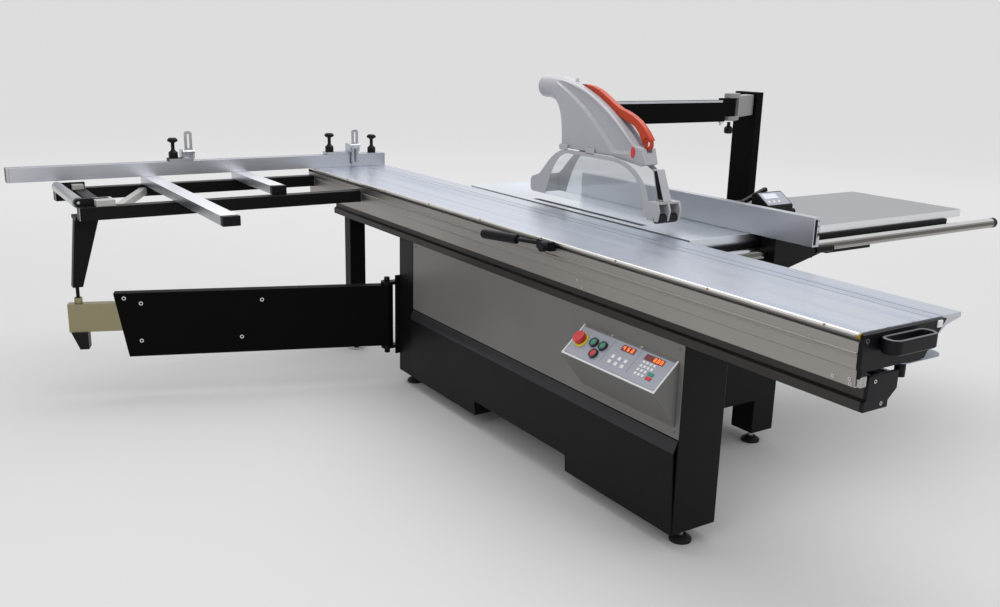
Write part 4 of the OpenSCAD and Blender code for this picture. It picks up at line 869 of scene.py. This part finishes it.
def makeShield(setup):
    place = (bladeY, setup["base"])
    left, right = bladeX - setup["half"], bladeX + setup["half"]
    thick, sheet, cheek = setup["thick"], setup["sheet"], setup["cheek"]
    arch = join(setup["front"], curve(setup["archFront"], 16), curve(setup["archRear"], 16), setup["rear"])
    window = join(setup["windowLow"], curve(setup["windowFront"], 14), curve(setup["windowRear"], 14))
    for name, low in (("left", left), ("right", right - thick)):
        high = low + thick
        side = toPiece("shield_frame_" + name, slab(arch, low, high, place), shieldGrey)
        carve(side, slab(window, low - past, high + past, place))
        if name == "right":
            near, far, floor = setup["notch"]
            carve(side, block((low - past, near, floor), (high + past, far, setup["top"] + past)))
        soften(side, 1.0, crease=40.0)
        settle(side, "guard_shield", True)
        inner = low + thick / 2 - sheet / 2
        pane = slab(window, inner, inner + sheet, place)
        make("shield_sheet_" + name, pane, shieldSheet, "guard_shield")
    shape = bmesh.new()
    under, over = (setup["top"] + reach for reach in setup["tabSpan"])
    for y, length in setup["tabs"]:
        for low in (left, right - thick):
            block((low, bladeY + y, under), (low + thick, bladeY + y + length, over), shape)
    make("shield_tabs", shape, shieldGrey, "guard_shield", 1.0)
    half = setup["linkWidth"] / 2
    wall = thick - setup["footLap"]
    inset = setup["cheekInset"]
    for name, outline, low, high, edge in (
        ("shield_rear_foot", "rearFoot", left + wall, right - wall, 2.5),
        ("shield_front_link", "link", bladeX - half, bladeX + half, 2.5),
        ("front_foot_left", "frontFoot", left + inset, left + inset + cheek, 2.0),
        ("front_foot_middle", "frontFoot", bladeX - cheek / 2, bladeX + cheek / 2, 2.0),
        ("front_foot_right", "frontFoot", right - cheek - inset, right - inset, 2.0),
    ):
        make(name, slab(setup[outline], low, high, place), shieldGrey, "guard_shield", edge, 3)
    shape = bmesh.new()
    start, end = left + setup["roofInset"], right - setup["roofInset"]
    for (near, under), (far, over) in setup["roof"]:
        block((start, bladeY + near, place[1] + under), (end, bladeY + far, place[1] + over), shape)
    make("front_foot_roof", shape, shieldGrey, "guard_shield", 1.0)
    start, end = (bladeX - half + reach for reach in setup["insertSpan"])
    shape = slab(setup["insert"], start, end, place)
    make("link_insert", shape, blackMoulding, "guard_shield", 0.4, slot="black_plastic")


makeShield(shieldSet)
print("shield made")


# node trees that set copies of one shape
def newTree(name, **inputs):
    tree = bpy.data.node_groups.new(name, "GeometryNodeTree")
    tree.interface.new_socket(name="Geometry", in_out="INPUT", socket_type="NodeSocketGeometry")
    for label, kind in inputs.items():
        tree.interface.new_socket(name=label, in_out="INPUT", socket_type="NodeSocket" + kind)
    tree.interface.new_socket(name="Geometry", in_out="OUTPUT", socket_type="NodeSocketGeometry")
    return tree, tree.nodes.new("NodeGroupInput").outputs


def endTree(tree, copies, finish, move=None):
    # sets the copies, makes them real, moves them where asked for and gives them their finish
    placed = addNode(tree, "GeometryNodeInstanceOnPoints", copies)["Instances"]
    solid = addNode(tree, "GeometryNodeRealizeInstances", {"Geometry": placed})["Geometry"]
    if move:
        solid = addNode(tree, "GeometryNodeTransform", {"Geometry": solid, **move})["Geometry"]
    dress = {"Geometry": solid, "Material": finish}
    dressed = addNode(tree, "GeometryNodeSetMaterial", dress)["Geometry"]
    addNode(tree, "NodeGroupOutput", {"Geometry": dressed})
    return tree


def grow(piece, tree, values):
    # runs a tree on a piece, with its inputs set by their identifiers, and keeps the plain mesh
    maker = piece.modifiers.new("maker", "NODES")
    maker.node_group = tree
    for item in tree.interface.items_tree:
        if item.in_out == "INPUT" and item.name in values:
            maker[item.identifier] = values[item.name]
    bake(piece)


# control pod: the sloped face has its own axes, up the slope, along the machine and out of the face
plateLow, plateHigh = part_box("control_plate")
podSet = {
    "slope": math.radians(42.26),
    "plate": 4.0,
    "half": (60.8, 217.0),
    "rim": 8.0,
    "rimInset": 1.5,
    "rimSpan": (-1.0, 0.7),  # this and the other spans go from below the face to above it
    "windows": {
        "left": {"up": (24, 44), "along": (-52, 7), "digits": "45.0", "lit": (-50, 5)},
        "right": {"up": (25, 45), "along": (-176, -96), "digits": "880", "lit": (-174, -132)},
    },
    "windowSpan": (-1.0, 1.2),
    "digit": (12.5, 7.5, 1.7),  # height, width and stroke
    "digitSpan": (1.0, 1.9),
    "keys": {  # rows and columns, their pitch, size of a key and middle of the field
        "roundKeys": ((2, 3), (19.0, 28.5), (12.0, 13.0), (-13.5, -16.5)),
        "upperKeys": ((2, 4), (14.0, 15.3), (9.0, 10.0), (11.0, -129.0)),
        "lowerKeys": ((2, 3), (14.0, 15.3), (9.0, 10.0), (-17.0, -121.4)),
    },
    "keySpan": (-0.5, 2.1),
    "wideKeys": {"greenKey": (-10.5, -160.0, "green_plastic"), "redKey": (-25.0, -162.0, "red_plastic")},
    "wideKey": (11.0, 23.0),
    "wideKeySpan": (-1.0, 2.2),
    "lines": ((48.0, -34.0, 52.0), (-72.0, -34.0, 56.0)),
    "lineHalf": 0.6,
    "lineSpan": (-0.5, 0.35),
    "bezels": ((12.0, 118.0), (12.0, 75.0), (-22.0, 88.0)),
    "bezelProfile": ((11.4, -1), (16.5, -1), (16.5, 3), (15.6, 8.4), (14.6, 9.4), (12.4, 9.4), (11.4, 8.6),
                     (11.4, -1)),
    "ring": (5.0, 176.0),
    # the pressed cap stays clear of the ring, which stands around it
    "ringProfile": ((12, -1), (25.4, -1), (25.4, 3.6), (24.6, 4.6), (22.6, 4.6), (22, 1.6), (12, 1.6),
                    (12, -1)),
    "screws": ((56, 208), (57, 75), (57, -60), (-50, 203), (-50, -67), (-50, -203)),
    "screwOut": 0.2,
}
slope = podSet["slope"]
plate = podSet["plate"] * mm
faceX = (plateLow[0] + plateHigh[0] - plate * math.sin(slope)) / 2
faceY = (plateLow[1] + plateHigh[1]) / 2
faceZ = (plateLow[2] + plateHigh[2] + plate * math.cos(slope)) / 2
podFace = Matrix.Translation((faceX, faceY, faceZ)) @ Matrix.Rotation(-slope, 4, "Y")


def onFace(up, along, out, shape=None):
    # a block on the pod's face between pairs in mm
    low, high = (Vector(corner) * mm for corner in zip(up, along, out))
    return addBlock(bmesh.new() if shape is None else shape, low, high, podFace)


def podSpot(up, along):
    return podFace @ Matrix.Translation((up * mm, along * mm, 0.0))


def makeKeyGrid():
    # rows and columns of keys
    tree, given = newTree("keyGrid", Rows="Int", Columns="Int", Up="Float", Along="Float", Key="Vector",
                          Place="Vector", Turn="Vector", Finish="Material")
    grid = addNode(tree, "GeometryNodeMeshGrid", {
        "Size X": given["Up"],
        "Size Y": given["Along"],
        "Vertices X": given["Rows"],
        "Vertices Y": given["Columns"],
    })
    key = addNode(tree, "GeometryNodeMeshCube", {"Size": given["Key"]})
    copies = {"Points": grid["Mesh"], "Instance": key["Mesh"]}
    return endTree(tree, copies, given["Finish"], {"Translation": given["Place"], "Rotation": given["Turn"]})


keyGrid = makeKeyGrid()


def makeKeys(name, counts, pitch, size, middle):
    low, high = podSet["keySpan"]
    piece = toPiece(name, bmesh.new(), keyWhite)
    grow(piece, keyGrid, {
        "Rows": counts[0],
        "Columns": counts[1],
        "Up": (counts[0] - 1) * pitch[0] * mm,
        "Along": (counts[1] - 1) * pitch[1] * mm,
        "Key": [size[0] * mm, size[1] * mm, (high - low) * mm],
        "Place": list(podFace @ (Vector((*middle, (low + high) / 2)) * mm)),
        "Turn": [0.0, -slope, 0.0],
        "Finish": keyWhite,
    })
    soften(piece, 1.1, 3)
    settle(piece, "control_plate")


# lit bars of each sign
barsOf = {"0": "abcdef", "4": "fgbc", "5": "afgcd", "8": "abcdefg", ".": "p"}


def addDigits(shape, text, up, lit, setup):
    # the bars of a number, read from the operator's side
    height, width, stroke = setup["digit"]
    base = (up[0] + up[1] - height) / 2
    half = height / 2
    bars = {
        "a": ((0, width), (height - stroke, height)),
        "b": ((width - stroke, width), (half, height)),
        "c": ((width - stroke, width), (0, half)),
        "d": ((0, width), (0, stroke)),
        "e": ((0, stroke), (0, half)),
        "f": ((0, stroke), (half, height)),
        "g": ((0, width), (half - stroke / 2, half + stroke / 2)),
        "p": ((-2.2, -0.4), (0, stroke)),
    }
    step = (lit[1] - lit[0]) / len(text.replace(".", ""))
    left = lit[1] - (step - width) / 2
    for mark in text:
        for bar in barsOf[mark]:
            reach, tall = bars[bar]
            rise = (base + tall[0], base + tall[1])
            onFace(rise, (left - reach[1], left - reach[0]), setup["digitSpan"], shape)
        if mark != ".":
            left -= step


def makePod(setup):
    halfUp, halfAlong = setup["half"]
    rim, inset, out = setup["rim"], setup["rimInset"], setup["rimSpan"]
    ends = (inset - halfAlong, halfAlong - inset)
    rise = (rim - halfUp - 0.5, halfUp - inset)
    shape = onFace((inset - halfUp, rim - halfUp), ends, out)
    onFace(rise, (halfAlong - rim, ends[1]), out, shape)
    onFace(rise, (ends[0], rim - halfAlong), out, shape)
    make("pod_rim", shape, paleEdge, "control_box", 0.5, slot="silver_face")
    panes, digits, lines = bmesh.new(), bmesh.new(), bmesh.new()
    for window in setup["windows"].values():
        onFace(window["up"], window["along"], setup["windowSpan"], panes)
        addDigits(digits, window["digits"], window["up"], window["lit"], setup)
    half = setup["lineHalf"]
    for along, low, high in setup["lines"]:
        onFace((low, high), (along - half, along + half), setup["lineSpan"], lines)
    make("pod_windows", panes, darkWindow, "control_plate", 0.5, slot="black_plastic")
    make("pod_digits", digits, displayGlow, "control_plate", 0.25, slot="orange_plastic")
    make("pod_lines", lines, printLine, "control_plate", 0.2)
    for name, field in setup["keys"].items():
        makeKeys("pod_" + name, *field)
    tall, wide = (size / 2 for size in setup["wideKey"])
    for name, (up, along, slot) in setup["wideKeys"].items():
        shape = onFace((up - tall, up + tall), (along - wide, along + wide), setup["wideKeySpan"])
        make("pod_" + name, shape, finishes[slot], "control_plate", 1.0, 3, slot=slot)
    shape = bmesh.new()
    for spot in setup["bezels"]:
        lathe(shape, setup["bezelProfile"], podSpot(*spot))
    make("pod_bezels", shape, bezelBlack, "control_plate", slot="black_plastic")
    shape = turned(setup["ringProfile"], podSpot(*setup["ring"]), 56)
    make("pod_stop_ring", shape, yellowRing, "control_plate", slot="orange_plastic")


makePod(podSet)
print("control pod made")

# pieces that carry more than one finish, told apart by place in machine mm and by the way a face looks; some
# are painted light: highlights, reflections and sheen on the faces that point one way
secondLooks = (
    ("sliding_table", slideTopPaintedReflections, lambda spot, side: side.z > 0.9 and spot.z > 823),
    ("sliding_table", slideSide, lambda spot, side: side.x < -0.4),
    ("arm_tube", blackMoulding, lambda spot, side: spot.z < 275.5),
    ("left_stop", anodised, lambda spot, side: abs(spot.x + 654) > 24),
    ("right_stop", anodised, lambda spot, side: abs(spot.x - 92) > 24),
    ("crosscut_fence", blackMoulding, lambda spot, side: spot.z > 886),
    ("fence_extension", blackMoulding, lambda spot, side: spot.x < -1332 and side.x < -0.5),
    ("swing_arm", deepBlack, lambda spot, side: True),
    ("guard_boom", deepBlack, lambda spot, side: True),
    ("guard_post", deepBlack, lambda spot, side: True),
    ("guard_post", linkGrey, lambda spot, side: spot.x < 1389 and spot.z > 1100),
    # painted sheen on the lower panel's sloped band
    ("lower_panel", bandPaintedSheen, lambda spot, side: side.x < -0.8 and side.z > 0.3),
    # painted highlight on the support bars' upward faces
    ("support_bars", barTopPaintedHighlight, lambda spot, side: side.z > 0.9),
    ("corner_casting", blackMoulding, lambda spot, side: spot.x < -1094),
    ("leveling_feet", cleanSteel, lambda spot, side: spot.z > 22),
    ("beam_post", cleanSteel, lambda spot, side: spot.z < 11),
    # painted highlight on the right table's near-facing front faces
    ("right_table", tableFrontPaintedHighlight, lambda spot, side: side.y < -0.7),
    # painted reflections: bright stripe on the rail's upper faces, dark stripe on its front faces
    ("rip_rail", railPaintedHighlight, lambda spot, side: side.z > 0.62),
    ("rip_rail", railPaintedDarkReflection, lambda spot, side: -0.15 < side.z < 0.3),
    ("outrigger_leg", finishes["zinc_plate"], lambda spot, side: spot.z < 414),
    ("outrigger_frame", finishes["cast_grey"],
     lambda spot, side: (abs(side.x) > 0.2 and abs(side.y) > 0.2) or (side.z > 0.9 and spot.z < 785)),
)
for node, finish, chosen in secondLooks:
    repaint(skins[node], finish, chosen)
print("second finishes set")

# screw heads with a round recess, in shares of their radius
headSet = {"corners": 24, "thickness": 0.7, "recess": 0.55, "sink": -0.45}


def makeScrewTree(setup):
    tree, given = newTree("screwHeads", Thickness="Float", Recess="Float", Finish="Material")
    head = addNode(tree, "GeometryNodeMeshCylinder", {
        "Vertices": setup["corners"],
        "Radius": 1.0,
        "Depth": given["Thickness"],
    })
    ledge = addNode(tree, "GeometryNodeExtrudeMesh", {
        "Mesh": head["Mesh"],
        "Selection": head["Top"],
        "Offset Scale": 0.0,
        "Individual": False,
    })
    shrink = addNode(tree, "GeometryNodeScaleElements", {
        "Geometry": ledge["Mesh"],
        "Selection": ledge["Top"],
        "Scale": given["Recess"],
    })
    sink = addNode(tree, "GeometryNodeExtrudeMesh", {
        "Mesh": shrink["Geometry"],
        "Selection": ledge["Top"],
        "Offset Scale": setup["sink"],
        "Individual": False,
    })
    named = "GeometryNodeInputNamedAttribute"
    facing = addNode(tree, named, {"Name": "facing"}, data_type="FLOAT_VECTOR")["Attribute"]
    size = addNode(tree, named, {"Name": "size"}, data_type="FLOAT")["Attribute"]
    turn = addNode(tree, "FunctionNodeAlignRotationToVector", {"Vector": facing}, axis="Z")["Rotation"]
    copies = {"Points": given["Geometry"], "Instance": sink["Mesh"], "Rotation": turn, "Scale": size}
    return endTree(tree, copies, given["Finish"])


screwTree = makeScrewTree(headSet)


def addScrews(name, node, places, facing, radius, finish=cleanSteel):
    # one piece for all screws of a body: their places in the frame, the way they face and their radius
    piece = toPiece(name, bmesh.new(), finish)
    mesh = piece.data
    mesh.vertices.add(len(places))
    mesh.vertices.foreach_set("co", [value for place in places for value in place])
    mesh.attributes.new("facing", "FLOAT_VECTOR", "POINT")
    mesh.attributes.new("size", "FLOAT", "POINT")
    mesh.attributes["facing"].data.foreach_set("vector", list(facing) * len(places))
    mesh.attributes["size"].data.foreach_set("value", [radius * mm] * len(places))
    grow(piece, screwTree, {
        "Thickness": headSet["thickness"],
        "Recess": headSet["recess"],
        "Finish": finish,
    })
    soften(piece)
    settle(piece, node, slot="ground_steel")


armSet = {
    "turn": math.radians(20.0),
    "pivot": (-16.0, 2322.0),
    "halfWidth": 23.0,
    "screws": ((1050, 410), (987, 387), (994, 232), (516, 387), (602, 232)),
}
armAlong = Vector((-math.cos(armSet["turn"]), math.sin(armSet["turn"]), 0.0))
armOut = Vector((-math.sin(armSet["turn"]), -math.cos(armSet["turn"]), 0.0))


def armSpot(along, z):
    return at(*armSet["pivot"], z) + (armAlong * along + armOut * armSet["halfWidth"]) * mm


def podScrew(up, along):
    return podFace @ (Vector((up, along, podSet["screwOut"])) * mm)


faceOut = podFace.to_3x3() @ Vector((0.0, 0.0, 1.0))
nearEnd = (0.0, -1.0, 0.0)
outSide = (-1.0, 0.0, 0.0)
beadOut = (-0.94, 0.0, 0.34)
sideSpots = ((62, 706), (16, 712), (13, 701), (1036, 723), (1012, 705))
screwSets = {  # node, places, facing, radius and any finish of their own
    "arm_screws": ("swing_arm", [armSpot(*spot) for spot in armSet["screws"]], armOut, 8.0),
    "pod_screws": ("control_plate", [podScrew(*spot) for spot in podSet["screws"]], faceOut, 4.2),
    "beam_cap_screws": ("beam_end_caps", [at(62, -10, 704), at(92, -10, 646)], nearEnd, 5.0),
    "end_cap_screws": ("table_end_caps", [at(16, -10, 806)], nearEnd, 6.5),
    "stop_block_screws": ("sliding_table", [at(19, -12, z) for z in (703, 715)], nearEnd, 3.6),
    "slide_side_screws": ("sliding_table", [at(5, y, z) for y, z in sideSpots], outSide, 4.5),
    "panel_screws": ("side_panel", [at(30, y, z) for y in (590, 2150) for z in (370, 618)], outSide, 4.0,
                     finishes["grey_paint"]),
    "bead_screws": ("sliding_table", [at(-3.8, 95.0 + 377.0 * i, 821.6) for i in range(9)], beadOut, 3.2,
                    brassEnd),
}
for name, screws in screwSets.items():
    addScrews(name, *screws)
print("screws set")

# trim of the sliding table: side mouldings, slot end, corner pad, stop block and top sheet
slideTrim = {
    "length": 3200.0,
    "beads": {
        "top": (brightBead, ((0.9, 819.9, 5.0),)),
        "side": (slideSide, ((0.4, 776.0, 3.4), (0.6, 768.0, 2.0))),
    },
    "brass": {"place": (3.5, 0.5, 816.5), "profile": ((0, -8), (8, -8), (8, 3), (7, 4), (0, 4))},
    "pad": ((272, -13, 802), (292, 0, 820)),
    "block": ((8, -12, 696), (30, -0.5, 722)),
    "sheet": ((30, 2, 824.6), (206, 3198, 825.25)),
    "gripRebate": ((-6.0, 1149.0, 814.0), (0.6, 1226.0, 826.0)),  # room for the bead in the side grip
}


def makeSlideTrim(setup):
    end = setup["length"] - 2.0
    for name, (finish, beads) in setup["beads"].items():
        shape = bmesh.new()
        for x, z, radius in beads:
            slim = radius - 0.4
            profile = [(0, 0), (slim, 0), (radius, 0.4), (radius, end - 0.4), (slim, end), (0, end)]
            lathe(shape, profile, stand(x, 1.0, z, "y"), 16)
        make("slide_bead_" + name, shape, finish, "sliding_table")
    shape = turned(setup["brass"]["profile"], stand(*setup["brass"]["place"], "-y"), 28)
    make("slot_end", shape, brassEnd, "sliding_table", slot="zinc_plate")
    make("slide_end_pad", block(*setup["pad"]), keyWhite, "sliding_table", 3.0, 3, slot="guard_plastic")
    stop = block(*setup["block"])
    make("slide_end_block", stop, finishes["cast_grey"], "sliding_table", 3.0, 3, slot="cast_grey")
    make("slide_top_sheet", block(*setup["sheet"]), slideTopPaintedReflections, "sliding_table", 0.2)
    carve(skins["side_grip"], block(*setup["gripRebate"]))
    soften(skins["side_grip"])


makeSlideTrim(slideTrim)

# black plugs in the near ends of the support bars
barSet = {
    "bars": ((-797, 2012), (-390, 2640)),
    "width": 63.0,
    "span": (790.0, 825.0),
    "proud": 2.5,
    "depth": 26.0,
    "lip": 0.4,
}


def makeBarPlugs(setup):
    shape = bmesh.new()
    lip = setup["lip"]
    bottom, top = setup["span"]
    for x, y in setup["bars"]:
        high = (x + setup["width"] + lip, y + setup["depth"], top + lip)
        block((x - lip, y - setup["proud"], bottom - lip), high, shape)
    make("bar_plugs", shape, blackMoulding, "support_bars", 2.0, 3, slot="black_plastic")


makeBarPlugs(barSet)
print("table trim made")

# push handle: a grab ring whose upward-facing upper rim has a lighter grey finish
handleSet = {
    "low": (50.0, -62.0),
    "high": (214.0, -10.0),
    "corner": 22.0,
    "leastCorner": 3.0,
    "profile": ((3, 777), (0, 780), (0, 808), (1.2, 811.5), (3.5, 813), (6.5, 813), (8.5, 811.5), (9.5, 808),
                (9.5, 780), (11.5, 777)),
    "steps": 8,
}


def roundRect(inset, setup):
    # points of a rectangle with round corners
    low, high, steps = setup["low"], setup["high"], setup["steps"]
    radius = max(setup["leastCorner"], setup["corner"] - inset)
    reach = inset + radius
    left, right, near, far = low[0] + reach, high[0] - reach, low[1] + reach, high[1] - reach
    points = []
    for turn, x, y in ((2, left, near), (3, right, near), (0, right, far), (1, left, far)):
        for step in range(steps + 1):
            angle = quarter * (turn + step / steps)
            points.append((x + radius * math.cos(angle), y + radius * math.sin(angle)))
    return points


def makeHandle(setup):
    shape = bmesh.new()
    rings = []
    for inset, z in setup["profile"]:
        rings.append([shape.verts.new(at(x, y, z)) for x, y in roundRect(inset, setup)])
    bridge(shape, rings + rings[:1], capped=False)
    handle = make("push_handle_grip", shape, blackMoulding, "push_handle", crease=40.0, stands=True)
    repaint(handle, handleUpperRim, lambda spot, side: side.z > 0.35 and spot.z > 800)


makeHandle(handleSet)

# rip fence readout: silver face with a window and keys on the sloped front
readoutSet = {
    "foot": (972.0, 910.0),
    "slope": (0.832, 0.555),
    "face": {"x": (766.0, 878.0), "reach": (5.0, 67.0), "out": (-1.0, 1.6)},
    "window": {"x": (776.0, 842.0), "reach": (36.0, 60.0), "out": (0.0, 2.2)},
    "keys": {"x": (782.0, 806.0, 830.0), "reach": 20.0, "size": 9.0, "out": (0.0, 2.8)},
}


def readoutBlock(x, reach, out):
    # a plate on the sloped front, given by its reach up the slope and its height over it
    along = Vector(readoutSet["slope"])
    outward = Vector((-along[1], along[0]))
    foot = Vector(readoutSet["foot"])
    corners = ((reach[0], out[0]), (reach[1], out[0]), (reach[1], out[1]), (reach[0], out[1]))
    return slab([foot + along * s + outward * t for s, t in corners], *x)


def makeReadout(setup):
    face = readoutBlock(**setup["face"])
    make("readout_face", face, readoutFace, "rip_readout", 0.8, 3, slot="silver_face")
    make("readout_window", readoutBlock(**setup["window"]), paleDisplay, "rip_readout", 0.5)
    keys = setup["keys"]
    half = keys["size"] / 2
    reach = (keys["reach"] - half, keys["reach"] + half)
    for number, x in enumerate(keys["x"], 1):
        key = readoutBlock((x - half, x + half), reach, keys["out"])
        make("readout_key_" + str(number), key, keyWhite, "rip_readout", 0.8, 3)


makeReadout(readoutSet)

# painted highlight: a bright strip along the boom's upper front edge, for the light that its rounded corner
# catches
boomPaintedHighlight = ((487.0, 1552.3, 1220.0), (1094.0, 1554.0, 1228.2))
make("boom_painted_highlight_strip", block(*boomPaintedHighlight), anodised, "guard_boom", 0.3, slot="anodised_aluminium")

# black end cap of the rail, and the knob and bolt under the boom's hinge
roundBits = {  # node, slot, finish, place with axis, and profile
    "rail_cap": ("rip_rail", "black_plastic", blackMoulding, (2058.0, 926.0, 763.0, "x"),
                 ((0, -22), (20.6, -22), (20.6, -3), (18, -0.4), (0, -0.4))),
    "boom_knob": ("guard_post", "black_plastic", blackMoulding, (1160.0, 1575.0, 1138.0, "z"),
                  ((0, -44), (12, -44), (17, -40), (17, -22), (12, -16), (7, -14), (7, 2), (0, 2))),
    "boom_bolt": ("guard_boom", "ground_steel", cleanSteel, (1112.0, 1575.0, 1147.0, "z"),
                  ((0, -18), (5, -18), (5, -9), (10, -9), (10, 0), (0, 0))),
}
for name, (node, slot, finish, place, profile) in roundBits.items():
    make(name, turned(profile, stand(*place), 40), finish, node, slot=slot)

# grip ribs round the clamp knobs
ribSet = {
    "count": 12,
    "corners": 10,
    "ring": 20.2,
    "rib": 2.4,
    "height": 8.4,
    "knobs": {
        "left_stop": (-654.0, 3158.0, 976.5),
        "right_stop": (92.0, 3158.0, 976.5),
        "crosscut_fence": (316.0, 3158.0, 964.0),
    },
}


def makeRibTree(setup):
    tree, given = newTree("knobRibs", Count="Int", Ring="Float", Rib="Float", Height="Float",
                          Place="Vector", Finish="Material")
    ring = addNode(tree, "GeometryNodeMeshCircle", {"Vertices": given["Count"], "Radius": given["Ring"]})
    rib = addNode(tree, "GeometryNodeMeshCylinder", {
        "Vertices": setup["corners"],
        "Radius": given["Rib"],
        "Depth": given["Height"],
    })
    copies = {"Points": ring["Mesh"], "Instance": rib["Mesh"]}
    return endTree(tree, copies, given["Finish"], {"Translation": given["Place"]})


ribTree = makeRibTree(ribSet)


def addRibs(node, place, setup):
    piece = toPiece(node + "_ribs", bmesh.new(), blackMoulding)
    grow(piece, ribTree, {
        "Count": setup["count"],
        "Ring": setup["ring"] * mm,
        "Rib": setup["rib"] * mm,
        "Height": setup["height"] * mm,
        "Place": list(at(*place)),
        "Finish": blackMoulding,
    })
    soften(piece)
    settle(piece, node, slot="black_plastic")


for node, place in ribSet["knobs"].items():
    addRibs(node, place, ribSet)
print("handle, readout and knobs made")
